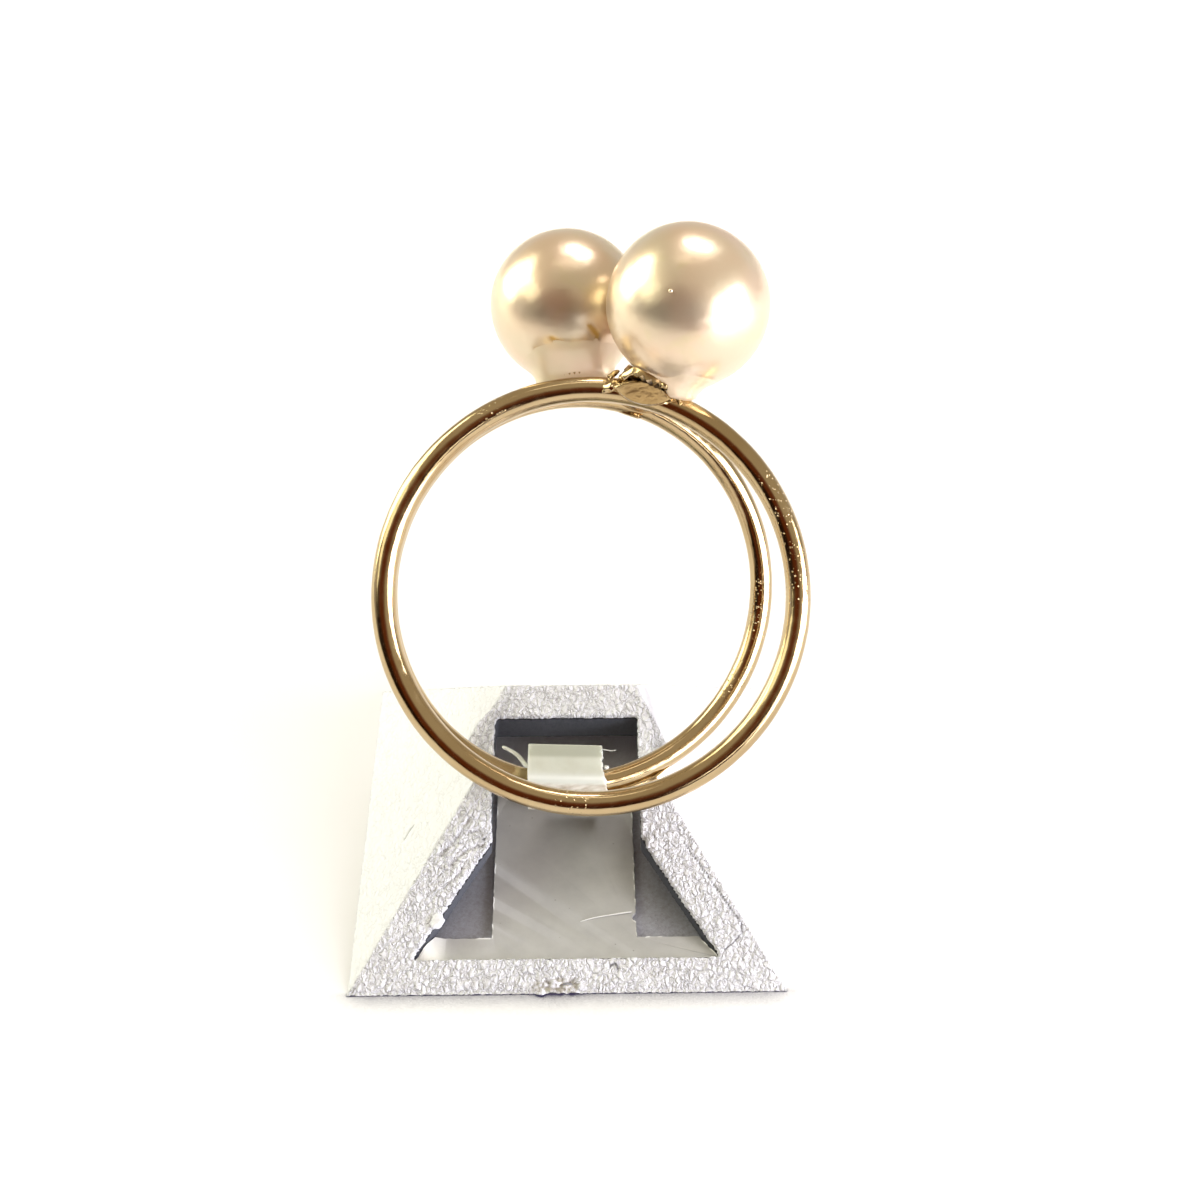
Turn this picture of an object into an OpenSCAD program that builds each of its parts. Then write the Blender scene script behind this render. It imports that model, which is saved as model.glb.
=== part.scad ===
// Two-pearl ring of gold wire, held upright by a plastic clip in a small leatherette display stand.
// Millimetres. +Z is up, -Y is the side the photo looks at, and the origin is the middle of the
// stand's underside.

/* [Stand] */
// width of the stand's base, left to right
base_w = 20.7; // [16:0.1:26]
// depth of the stand's base, front to back
base_d = 20.7; // [16:0.1:26]
// height of the rear crest
crest_h = 5; // [4:0.1:8]
// distance of the rear crest behind the middle
crest_y = 5.45; // [4:0.05:7]
// width of the top, measured at the height of the crest
crest_w = 7.3; // [5:0.1:10]
// height of the front ridge, where the sloping front ends
ridge_h = 4.5; // [3.5:0.1:7]
// place of the front ridge, front to back
ridge_y = -0.25; // [-2:0.05:1]
// height of the notch between the ridge and the crest
notch_h = 3.8; // [3:0.1:6]
// place of the notch, front to back
notch_y = 1.9; // [0.5:0.05:4]
// thickness of the leatherette-covered board
board_t = 0.9; // [0.6:0.05:1.5]

/* [Keyhole opening] */
// width of the slot, which the clip comes up through
slot_w = 7.3; // [5:0.1:10]
// back end of the slot
slot_back_y = 3.65; // [2.5:0.05:4.5]
// where the slot starts to widen
flare_y = -3.45; // [-5:0.05:-2]
// front edge of the opening
mouth_y = -8.92; // [-9.5:0.01:-7]
// width of the opening at its front edge
mouth_w = 14.7; // [10:0.1:17]

/* [Bottom] */
// thickness of the dark board that closes the stand's bottom
bottom_t = 0.2; // [0.1:0.05:0.5]
// thickness of the white plastic sheet on it
sheet_t = 0.2; // [0.1:0.05:0.5]
// back edge of the sheet's crossbar
bar_back_y = -7.4; // [-8:0.05:-6]
// width of the sheet's tongue
tongue_w = 6.95; // [5:0.05:7.1]
// sideways shift of the tongue
tongue_x = -0.13; // [-0.3:0.01:0.3]
// back end of the tongue
tongue_back_y = 3.6; // [1.5:0.1:7.5]

/* [Ring] */
// radius of the front band, to the middle of its wire
front_r = 9.5; // [7:0.05:12]
// radius of the front band's wire
front_wire_r = 0.58; // [0.4:0.01:1]
// radius of the rear band, to the middle of its wire
rear_r = 9.4; // [7:0.05:12]
// radius of the rear band's wire
rear_wire_r = 0.55; // [0.4:0.01:1]
// angle of the front band's plane above the table
ring_lean = 49.5; // [30:0.5:90]
// turn of the ring about the upright axis
ring_turn = -0.8; // [-10:0.1:10]

/* [Pearls] */
// radius of the front pearl
front_pearl_r = 3.72; // [3:0.01:5]
// radius of the rear pearl
rear_pearl_r = 3.66; // [3:0.01:5]
// radius of the hole drilled for the peg
peg_hole_r = 0.5; // [0.3:0.05:1]
// depth of the hole
peg_hole_depth = 3; // [1:0.1:4]
// half angle of the cup that the front pearl sits in
front_cup_angle = 27; // [15:1:60]
// half angle of the cup that the rear pearl sits in
rear_cup_angle = 17; // [15:1:60]
// thickness of the cups
cup_t = 0.34; // [0.2:0.01:0.6]

/* [Clip] */
// width of the plastic strap
strap_w = 3.75; // [2:0.05:5]
// thickness of the strap
strap_t = 0.3; // [0.2:0.05:0.5]

/* [Hidden] */
$fn = 96;
// clearance between pieces
gap = 0.06;
// side of a block that is larger than any pearl
big = 100;

// places in the ring's own frame: x to the right, y towards the pearls, z towards the viewer
ring_at = [1.28, 0.32, 15.4];
rear_at = [-0.58, 0.2, -4.09];
rear_tilt = [6, 16.8, 0];
front_pearl_at = [4.407, 13.228, 0.8];
rear_pearl_at = [-1.177, 14, -4.06];

// peg: free space at its end in the pearl, and radius of its thick neck under the cup
peg_end_gap = 0.15;
neck_r = 0.8;

// bridge: middle of its rear end, radius of its two arcs, its thickness and its greatest length
bridge_at = [2.35, 9.14, -4.4];
bridge_arc_r = 2.2;
bridge_t = 1.2;
bridge_l = 6;
// its filed front face: a point on it, from the bridge's middle, and its slope
bridge_face = [-0.25, 4.89];
bridge_slope = 33;

// strip along the rear band: start, sweep, thickness and width
strip_start = -113;
strip_sweep = 52;
strip_t = 0.42;
strip_w = 0.65;

// the wire's middle inside the clip, and its direction there
clip_at = [0.03, -1.9, 5.38];
clip_turn = [0, 13.1, 10.7];

// slopes of the stand's faces, and its hollow at the table: the outside moved in by one board
front_slope = atan2(ridge_h, ridge_y + base_d / 2);
back_slope = atan2(crest_h, base_d / 2 - crest_y);
side_slope = atan2(crest_h, (base_w - crest_w) / 2);
in_front = -base_d / 2 + board_t / sin(front_slope);
in_back = base_d / 2 - board_t / sin(back_slope);
in_side = base_w / 2 - board_t / sin(side_slope);

// heights of the undersides of the bottom board and the sheet
bottom_z = 0.02;
sheet_z = bottom_z + bottom_t + 0.04;

// helpers

function unit(v) = v / norm(v);
function tilt(v, a) =
    let (p = [v[0], v[1] * cos(a[0]) - v[2] * sin(a[0]), v[1] * sin(a[0]) + v[2] * cos(a[0])])
    [p[0] * cos(a[1]) + p[2] * sin(a[1]), p[1], p[2] * cos(a[1]) - p[0] * sin(a[1])];

// the point of a band's wire that lies nearest to a point p
function on_band(p, at, axis, r) =
    let (v = p - at, flat = v - axis * (v * axis)) at + unit(flat) * r;

// children stand at a with their z axis towards b
module aim(a, b) {
    d = unit(b - a);
    translate(a)
    rotate([0, acos(d[2]), atan2(d[1], d[0])])
    children();
}

module in_ring() {
    translate(ring_at)
    rotate([ring_lean, 0, ring_turn])
    children();
}

module band(r, wire_r) {
    rotate_extrude()
    translate([r, 0])
    circle(wire_r, $fn = 32);
}

// a strap of even thickness along a closed run of points
module closed_strap(points) {
    n = len(points);
    for (i = [0 : n - 1]) {
        a = points[i];
        b = points[(i + 1) % n];
        translate(a) circle(strap_t / 2, $fn = 24);
        translate(a)
        rotate(atan2(b[1] - a[1], b[0] - a[0]))
        translate([0, -strap_t / 2])
        square([norm(b - a), strap_t]);
    }
}

// the ring: two bands of round wire, their solder bridge, and a cup and a peg for each pearl

front_seat = on_band(front_pearl_at, [0, 0, 0], [0, 0, 1], front_r);
rear_seat = on_band(rear_pearl_at, rear_at, tilt([0, 0, 1], rear_tilt), rear_r);

module cup_and_peg(seat, pearl_at, pearl_r, cup_angle) {
    far = norm(pearl_at - seat);
    peg_end = pearl_r - peg_hole_depth + peg_end_gap;
    neck_start = pearl_r + gap + cup_t / 2;
    aim(pearl_at, seat) {
        difference() {
            sphere(pearl_r + gap + cup_t);
            sphere(pearl_r + gap);
            translate([0, 0, pearl_r * cos(cup_angle) - big / 2])
            cube(big, center = true);
        }
        translate([0, 0, peg_end])
        cylinder(h = far - peg_end, r = peg_hole_r - gap);
        translate([0, 0, neck_start])
        cylinder(h = far - neck_start, r = neck_r);
    }
}

// lens-shaped bridge, soldered across both bands beside the pearls, its front face filed flat
module bridge() {
    translate(bridge_at)
    rotate([0, 0, -12])
    difference() {
        linear_extrude(bridge_l)
        intersection() {
            translate([0, bridge_arc_r - bridge_t / 2]) circle(bridge_arc_r);
            translate([0, bridge_t / 2 - bridge_arc_r]) circle(bridge_arc_r);
        }
        translate([0, bridge_face[0], bridge_face[1]])
        rotate([bridge_slope, 0, 0])
        translate([-bridge_arc_r, -bridge_arc_r, 0])
        cube(2 * bridge_arc_r);
    }
}

// flat strip of metal along the outside of the rear band, through the clip
module tail_strip() {
    rotate([0, 0, strip_start])
    rotate_extrude(angle = strip_sweep)
    translate([rear_r + 0.4, -0.1])
    square([strip_t, strip_w]);
}

module ring_metal() {
    color("gold")
    in_ring() {
        band(front_r, front_wire_r);
        translate(rear_at)
        rotate(rear_tilt) {
            band(rear_r, rear_wire_r);
            tail_strip();
        }
        bridge();
        cup_and_peg(front_seat, front_pearl_at, front_pearl_r, front_cup_angle);
        cup_and_peg(rear_seat, rear_pearl_at, rear_pearl_r, rear_cup_angle);
    }
}

// the pearls, each drilled half way for its peg

module pearl(pearl_at, seat, r) {
    color("antiquewhite")
    in_ring()
    aim(pearl_at, seat)
    difference() {
        sphere(r);
        translate([0, 0, r - peg_hole_depth])
        cylinder(h = peg_hole_depth + 1, r = peg_hole_r);
    }
}

module pearl_front() {
    pearl(front_pearl_at, front_seat, front_pearl_r);
}

module pearl_rear() {
    pearl(rear_pearl_at, rear_seat, rear_pearl_r);
}

// the clip: a plastic strap looped round the rear band, its doubled end going down the slot

module ring_clip() {
    // section of the loop, from the wire's middle: y to the back and z up
    loop = [[1.35, 1.15], [0.3, 1.35], [-0.78, 1.35], [-1.2, 0.55],
            [-1.2, -0.5], [-0.45, -1.2], [1.1, -1.2], [1.35, -0.9]];
    color("whitesmoke") {
        // its ends are cut square to the stand, not to the wire
        intersection() {
            translate(clip_at)
            rotate(clip_turn)
            rotate([90, 0, 90])
            translate([0, 0, -strap_w / 2 - 1])
            linear_extrude(strap_w + 2)
            closed_strap(loop);
            translate([clip_at[0] - strap_w / 2, -big / 2, 0])
            cube([strap_w, big, big]);
        }
        // the doubled end
        rotate([90, 0, 90])
        translate([0, 0, -1.75])
        linear_extrude(3.5)
        polygon([[-0.78, 4.8], [-0.34, 4.8], [0.95, 0.52], [0.45, 0.52]]);
    }
}

// the stand: a low hollow pyramid with a notched top and a keyhole opening

module side_profile(points) {
    translate([-base_w, 0, 0])
    rotate([90, 0, 90])
    linear_extrude(2 * base_w)
    polygon(points);
}

module front_profile(points) {
    translate([0, base_d, 0])
    rotate([90, 0, 0])
    linear_extrude(2 * base_d)
    polygon(points);
}

module keyhole() {
    translate([0, 0, -1])
    linear_extrude(crest_h + 2)
    polygon([[-slot_w / 2, slot_back_y], [slot_w / 2, slot_back_y], [slot_w / 2, flare_y],
             [mouth_w / 2, mouth_y], [-mouth_w / 2, mouth_y], [-slot_w / 2, flare_y]]);
}

module stand_shell() {
    roof = notch_h - board_t;
    color("white")
    difference() {
        intersection() {
            side_profile([[-base_d / 2, 0], [ridge_y, ridge_h], [notch_y, notch_h],
                          [crest_y, crest_h], [base_d / 2, 0]]);
            front_profile([[-base_w / 2, 0], [-crest_w / 2, crest_h],
                           [crest_w / 2, crest_h], [base_w / 2, 0]]);
        }
        intersection() {
            side_profile([[in_front - 1 / tan(front_slope), -1],
                          [in_front + roof / tan(front_slope), roof],
                          [in_back - roof / tan(back_slope), roof],
                          [in_back + 1 / tan(back_slope), -1]]);
            front_profile([[-in_side - 1 / tan(side_slope), -1],
                           [-in_side + roof / tan(side_slope), roof],
                           [in_side - roof / tan(side_slope), roof],
                           [in_side + 1 / tan(side_slope), -1]]);
        }
        keyhole();
    }
}

// the bottom: a dark board, and on it a white sheet whose crossbar shows as a ledge

// the front part of the opening, just inside its edges, back to a given depth
module mouth_part(edge, back_y) {
    spread = (mouth_w - slot_w) / 2 / (flare_y - mouth_y);
    front_half = mouth_w / 2 - edge - edge * spread;
    back_half = front_half - spread * (back_y - mouth_y - edge);
    polygon([[-front_half, mouth_y + edge], [front_half, mouth_y + edge],
             [back_half, back_y], [-back_half, back_y]]);
}

module bottom_board() {
    // its top edges stay clear of the sloping walls
    top = bottom_z + bottom_t;
    side = in_side - top / tan(side_slope) - gap;
    front = in_front + top / tan(front_slope) + gap;
    back = in_back - top / tan(back_slope) - gap;
    color("dimgray")
    translate([0, 0, bottom_z])
    linear_extrude(bottom_t) {
        mouth_part(0.1, front + 0.5);
        translate([-side, front])
        square([2 * side, back - front]);
    }
}

module base_sheet() {
    color("gainsboro")
    translate([0, 0, sheet_z])
    linear_extrude(sheet_t) {
        mouth_part(0.08, bar_back_y);
        translate([tongue_x - tongue_w / 2, bar_back_y - 0.5])
        square([tongue_w, tongue_back_y - bar_back_y + 0.5]);
    }
}

ring_metal();
pearl_front();
pearl_rear();
ring_clip();
stand_shell();
bottom_board();
base_sheet();
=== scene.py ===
# Looks of a two-pearl ring of gold wire, held upright by a plastic clip in a small leatherette
# display stand. Pieces are modelled in millimetres and written in metres, in the part's own frame:
# +Z up, -Y towards the viewer, the origin in the middle of the stand's underside.
import math

import bmesh
import bpy
from bpy.props import FloatProperty, FloatVectorProperty, PointerProperty
from mathutils import Euler, Matrix, Vector, noise


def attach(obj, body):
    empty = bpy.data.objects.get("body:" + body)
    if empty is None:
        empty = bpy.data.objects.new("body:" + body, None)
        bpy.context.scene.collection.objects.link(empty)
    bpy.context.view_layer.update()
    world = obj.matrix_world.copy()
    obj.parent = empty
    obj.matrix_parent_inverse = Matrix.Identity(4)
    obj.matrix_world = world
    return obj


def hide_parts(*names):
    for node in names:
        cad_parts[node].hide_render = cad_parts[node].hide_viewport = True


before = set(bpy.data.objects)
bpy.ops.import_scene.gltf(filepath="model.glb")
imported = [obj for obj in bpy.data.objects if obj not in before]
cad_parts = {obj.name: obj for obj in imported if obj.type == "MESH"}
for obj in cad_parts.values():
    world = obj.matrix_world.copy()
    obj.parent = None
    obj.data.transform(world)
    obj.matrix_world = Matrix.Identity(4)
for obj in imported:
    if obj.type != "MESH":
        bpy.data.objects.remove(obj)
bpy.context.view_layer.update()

bl_info = {
    "name": "Pearl Ring on Display Stand",
    "version": (1, 0, 0),
    "blender": (4, 5, 0),
    "location": "View3D > Sidebar > Pearl Ring",
    "description": "Builds a two-pearl gold ring held upright in a small leatherette stand",
    "category": "Add Mesh",
}

MM = 0.001
BODY = "root"
# a colour attribute's value where nothing is painted, such as no wear and no grain
PLAIN = (0.0, 0.0, 0.0)


def linear_colour(hex_code, alpha=True):
    """Turns an sRGB hex value such as #e9d9bf to linear light."""
    values = []
    for start in (1, 3, 5):
        part = int(hex_code[start:start + 2], 16) / 255
        values.append(part / 12.92 if part <= 0.04045 else ((part + 0.055) / 1.055) ** 2.4)
    return (*values, 1.0) if alpha else tuple(values)


def length(name, description, default_mm):
    """A length that a user may change, kept in metres."""
    return FloatProperty(name=name, description=description, default=default_mm * MM,
                         unit="LENGTH", subtype="DISTANCE", precision=5)


def angle(name, description, default_deg):
    """An angle that a user may change, kept in radians."""
    return FloatProperty(name=name, description=description, default=math.radians(default_deg),
                         unit="ROTATION", subtype="ANGLE")


def colour(name, description, hex_code):
    """A colour that a user may change, kept in linear light."""
    return FloatVectorProperty(name=name, description=description, subtype="COLOR", size=3,
                               default=linear_colour(hex_code, alpha=False), min=0.0, max=1.0)


class RingSettings(bpy.types.PropertyGroup):
    """Sizes and colours of the gold ring and its pearls"""

    front_r: length("Front band", "Radius of the front band, to the middle of its wire", 9.5)
    front_wire_r: length("Front wire", "Radius of the front band's wire", 0.58)
    rear_r: length("Rear band", "Radius of the rear band, to the middle of its wire", 9.4)
    rear_wire_r: length("Rear wire", "Radius of the rear band's wire", 0.55)
    lean: angle("Lean", "Angle of the front band's plane above the table", 49.5)
    turn: angle("Turn", "Turn of the ring about the upright axis", -0.8)
    front_pearl_r: length("Front pearl", "Radius of the front pearl", 3.72)
    rear_pearl_r: length("Rear pearl", "Radius of the rear pearl", 3.66)
    peg_hole_r: length("Peg hole", "Radius of the hole drilled in each pearl", 0.5)
    peg_hole_depth: length("Hole depth", "Depth of the hole drilled in each pearl", 3.0)
    front_cup_angle: angle("Front cup", "Half angle of the front pearl's cup", 27.0)
    rear_cup_angle: angle("Rear cup", "Half angle of the rear pearl's cup", 17.0)
    cup_t: length("Cup wall", "Thickness of the cups", 0.34)
    gold: colour("Gold", "Colour of the polished gold", "#c7b08a")
    nacre: colour("Nacre", "Colour of the pearls", "#e9d9be")
    glue: colour("Glue", "Colour of the dried glue under the pearls", "#e9d8b8")


class StandSettings(bpy.types.PropertyGroup):
    """Sizes and colours of the display stand and its clip"""

    base_w: length("Width", "Width of the stand's base", 20.7)
    base_d: length("Depth", "Depth of the stand's base", 20.7)
    crest_h: length("Crest height", "Height of the rear crest", 5.0)
    crest_y: length("Crest place", "Distance of the rear crest behind the middle", 5.45)
    crest_w: length("Crest width", "Width of the top at the crest", 7.3)
    ridge_h: length("Ridge height", "Height of the front ridge", 4.5)
    ridge_y: length("Ridge place", "Place of the front ridge", -0.25)
    notch_h: length("Notch height", "Height of the notch behind the ridge", 3.8)
    notch_y: length("Notch place", "Place of the notch", 1.9)
    board_t: length("Board", "Thickness of the covered board", 0.9)
    slot_w: length("Slot width", "Width of the slot that the clip comes through", 7.3)
    slot_back_y: length("Slot end", "Back end of the slot", 3.76)
    flare_y: length("Flare", "Where the slot starts to widen", -3.45)
    mouth_y: length("Mouth", "Front edge of the opening", -8.76)
    mouth_w: length("Mouth width", "Width of the opening at its front edge", 14.7)
    sheet_t: length("Sheet", "Thickness of the white sheet", 0.2)
    bar_back_y: length("Crossbar", "Back edge of the sheet's crossbar", -7.4)
    tongue_w: length("Tongue", "Width of the sheet's tongue", 6.95)
    tongue_x: length("Tongue shift", "Sideways shift of the tongue", -0.13)
    tongue_back_y: length("Tongue end", "Back end of the tongue", 3.6)
    strap_w: length("Strap width", "Width of the clip's plastic strap", 3.75)
    strap_t: length("Strap", "Thickness of the clip's plastic strap", 0.3)
    pebble: length("Pebble", "Size of the pebbles in the leatherette's grain", 0.32)
    leatherette: colour("Leatherette", "Colour of the leatherette", "#f5f5ff")
    board: colour("Board", "Colour of the bare board inside", "#a7a8b5")
    sheet: colour("Sheet", "Colour of the white sheet", "#bbbabb")
    clip: colour("Clip", "Colour of the clip's plastic", "#dcdfd8")


class StageSettings(bpy.types.PropertyGroup):
    """The camera and the light of the studio"""

    lens: FloatProperty(name="Lens", description="Focal length", default=52.35, unit="CAMERA")
    pitch: angle("Pitch", "How far the camera looks down", 40.539)
    yaw: angle("Yaw", "How far the camera looks to the right", 0.786)
    floor: colour("Floor", "Colour of the floor", "#f8f8ff")
    horizon: colour("Horizon", "Colour of the room low down", "#cccccc")
    room: colour("Room", "Colour of the dim room overhead", "#bfb49e")


class InMillimetres:
    """Reads a settings group's lengths in millimetres."""

    def __init__(self, group):
        self.group = group

    def __getattr__(self, name):
        return getattr(self.group, name) / MM


# places in the ring's own frame, in millimetres: x right, y towards the pearls, z to the viewer
RING_AT = Vector((1.28, 0.32, 15.4))
REAR_AT = Vector((-0.58, 0.2, -4.09))
REAR_TILT = (math.radians(6), math.radians(16.8))
FRONT_PEARL_AT = Vector((4.407, 13.228, 0.8))
REAR_PEARL_AT = Vector((-1.177, 14.0, -4.06))


def ring_matrix(settings):
    """From the ring's own frame to the part's, both in millimetres."""
    turn = Matrix.Rotation(settings.turn, 4, "Z")
    return Matrix.Translation(RING_AT) @ turn @ Matrix.Rotation(settings.lean, 4, "X")


def rear_matrix():
    """From the rear band's own frame to the ring's, in millimetres."""
    tilt = Matrix.Rotation(REAR_TILT[1], 4, "Y") @ Matrix.Rotation(REAR_TILT[0], 4, "X")
    return Matrix.Translation(REAR_AT) @ tilt


def seat_on_band(pearl_at, band, radius):
    """The point of a band's wire, in the ring's frame, that lies nearest to a pearl."""
    flat = band.inverted() @ pearl_at
    flat.z = 0
    return band @ (flat.normalized() * radius)


def aim_matrix(start, end):
    """A frame at start whose z axis points to end."""
    turn = (end - start).to_track_quat("Z", "Y").to_matrix().to_4x4()
    return Matrix.Translation(start) @ turn


def only(kind, things):
    """Those of the things that are of one kind."""
    return [thing for thing in things if isinstance(thing, kind)]


def verts_of(things):
    """The vertices among the things that a mesh tool gives back."""
    return only(bmesh.types.BMVert, things)


def everything(shape):
    """All the geometry of a shape, as mesh tools want it."""
    return shape.verts[:] + shape.edges[:] + shape.faces[:]


def smooth_step(low, high, value):
    """0 up to low, 1 from high, and an even curve between them; low may be the greater."""
    share = min(1.0, max(0.0, (value - low) / (high - low)))
    return share * share * (3 - 2 * share)


def prism(corners, along):
    """A solid with a flat outline of corners, drawn out along a vector."""
    shape = bmesh.new()
    face = shape.faces.new([shape.verts.new(corner) for corner in corners])
    grown = bmesh.ops.extrude_face_region(shape, geom=[face])
    bmesh.ops.translate(shape, vec=along, verts=verts_of(grown["geom"]))
    bmesh.ops.recalc_face_normals(shape, faces=shape.faces[:])
    return shape


def turned(profile, steps):
    """A skin spun about z from a profile of radius and height."""
    shape = bmesh.new()
    verts = [shape.verts.new((radius, 0, height)) for radius, height in profile]
    for pair in zip(verts, verts[1:]):
        shape.edges.new(pair)
    bmesh.ops.spin(shape, geom=shape.verts[:] + shape.edges[:], cent=(0, 0, 0), axis=(0, 0, 1),
                   angle=math.tau, steps=steps, use_merge=True)
    return shape


def to_run(point, points):
    """Distance from a point to a run of points, all of them Vectors."""
    best = 1e9
    for start, end in zip(points, points[1:]):
        run = end - start
        share = min(1, max(0, (point - start).dot(run) / run.length_squared))
        best = min(best, (point - start - run * share).length)
    return best


def joined(shapes):
    """One bmesh of several, which are freed."""
    whole = bmesh.new()
    for shape in shapes:
        mesh = bpy.data.meshes.new("draft")
        shape.to_mesh(mesh)
        shape.free()
        whole.from_mesh(mesh)
        bpy.data.meshes.remove(mesh)
    return whole


def with_modifiers(shape, *modifiers):
    """Runs modifiers, each a type and its settings, on a bmesh and gives the result."""
    mesh = bpy.data.meshes.new("draft")
    shape.to_mesh(mesh)
    shape.free()
    draft = bpy.data.objects.new("draft", mesh)
    bpy.context.collection.objects.link(draft)
    for kind, settings in modifiers:
        modifier = draft.modifiers.new(kind.title(), kind)
        for key, value in settings.items():
            setattr(modifier, key, value)
    result = bmesh.new()
    result.from_object(draft, bpy.context.evaluated_depsgraph_get())
    bpy.data.objects.remove(draft)
    bpy.data.meshes.remove(mesh)
    return result


def cut_by(shape, cutter, operation="DIFFERENCE"):
    """Cuts one closed bmesh by another, and frees the cutter."""
    mesh = bpy.data.meshes.new("cutter")
    cutter.to_mesh(mesh)
    cutter.free()
    tool = bpy.data.objects.new("cutter", mesh)
    bpy.context.collection.objects.link(tool)
    settings = {"operation": operation, "object": tool, "solver": "EXACT"}
    result = with_modifiers(shape, ("BOOLEAN", settings))
    bpy.data.objects.remove(tool)
    bpy.data.meshes.remove(mesh)
    return result


def finish_piece(name, shape, materials, slot, replaced=(), sharp=None):
    """Writes a bmesh, in millimetres, as a smooth-shaded piece in metres that rides on the body."""
    bmesh.ops.scale(shape, vec=(MM, MM, MM), verts=shape.verts)
    for face in shape.faces:
        face.smooth = True
    mesh = bpy.data.meshes.new(name)
    shape.to_mesh(mesh)
    shape.free()
    if sharp is not None:
        mesh.set_sharp_from_angle(angle=math.radians(sharp))
    for material in materials:
        mesh.materials.append(material)
    piece = bpy.data.objects.new(name, mesh)
    bpy.context.collection.objects.link(piece)
    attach(piece, BODY)
    # the gold throws no patches of light on the stand, whose light is soft
    if slot == "gold":
        piece.visible_diffuse = False
    if replaced:
        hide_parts(*replaced)
    return piece


# materials


def add_node(tree, kind, inputs=None, **settings):
    """Adds a node with its settings; an input is a value or the socket to link from."""
    node = tree.nodes.new(kind)
    for key, value in settings.items():
        setattr(node, key, value)
    for socket, value in (inputs or {}).items():
        if isinstance(value, bpy.types.NodeSocket):
            tree.links.new(value, node.inputs[socket])
        else:
            node.inputs[socket].default_value = value
    return node


def new_material(name):
    """A material with nothing but its output, its node tree and its Object coordinates in mm."""
    found = bpy.data.materials.get(name)
    if found:
        return found, None, None
    material = bpy.data.materials.new(name)
    material.use_nodes = True
    tree = material.node_tree
    tree.nodes.clear()
    place = add_node(tree, "ShaderNodeTexCoord").outputs["Object"]
    scale = add_node(tree, "ShaderNodeVectorMath", {0: place, 1: (1 / MM,) * 3},
                     operation="MULTIPLY")
    return material, tree, scale.outputs["Vector"]


def finish_material(material, inputs):
    """Gives a material its shader, with these inputs, and its output."""
    shader = add_node(material.node_tree, "ShaderNodeBsdfPrincipled", inputs)
    add_node(material.node_tree, "ShaderNodeOutputMaterial", {"Surface": shader.outputs[0]})
    return material


def painted(tree, name):
    """The colour that paint() wrote on a piece."""
    return add_node(tree, "ShaderNodeVertexColor", layer_name=name).outputs["Color"]


def channels(tree, tint):
    """The red, green and blue of a colour."""
    return add_node(tree, "ShaderNodeSeparateColor", {"Color": tint}).outputs


def noise_at(tree, place, per_mm, detail=2.0, roughness=0.5, distortion=0.0):
    """Cloudy noise with so many waves to the millimetre."""
    node = add_node(tree, "ShaderNodeTexNoise",
                    {"Vector": place, "Scale": per_mm, "Detail": detail,
                     "Roughness": roughness, "Distortion": distortion})
    return node.outputs["Fac"]


def remap(tree, value, low, high, to_low=0.0, to_high=1.0):
    """Stretches a value from low and high to two others, and no further than these."""
    node = add_node(tree, "ShaderNodeMapRange",
                    {"Value": value, "From Min": low, "From Max": high,
                     "To Min": to_low, "To Max": to_high})
    return node.outputs["Result"]


def math_node(tree, operation, first, second):
    """One sum of two values or sockets."""
    return add_node(tree, "ShaderNodeMath", {0: first, 1: second},
                    operation=operation).outputs["Value"]


def blend(tree, factor, first, second):
    """Mixes two colours, each a value or a socket."""
    node = tree.nodes.new("ShaderNodeMix")
    node.data_type = "RGBA"
    for name, value in (("Factor_Float", factor), ("A_Color", first), ("B_Color", second)):
        socket = next(s for s in node.inputs if s.identifier == name)
        if isinstance(value, bpy.types.NodeSocket):
            tree.links.new(value, socket)
        else:
            socket.default_value = value
    return next(s for s in node.outputs if s.identifier == "Result_Color")


def bump(tree, height, depth_mm, normal=None):
    """A relief of the given depth, on top of another one where normal is given."""
    inputs = {"Height": height, "Distance": depth_mm * MM}
    if normal is not None:
        inputs["Normal"] = normal
    return add_node(tree, "ShaderNodeBump", inputs).outputs["Normal"]


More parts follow.
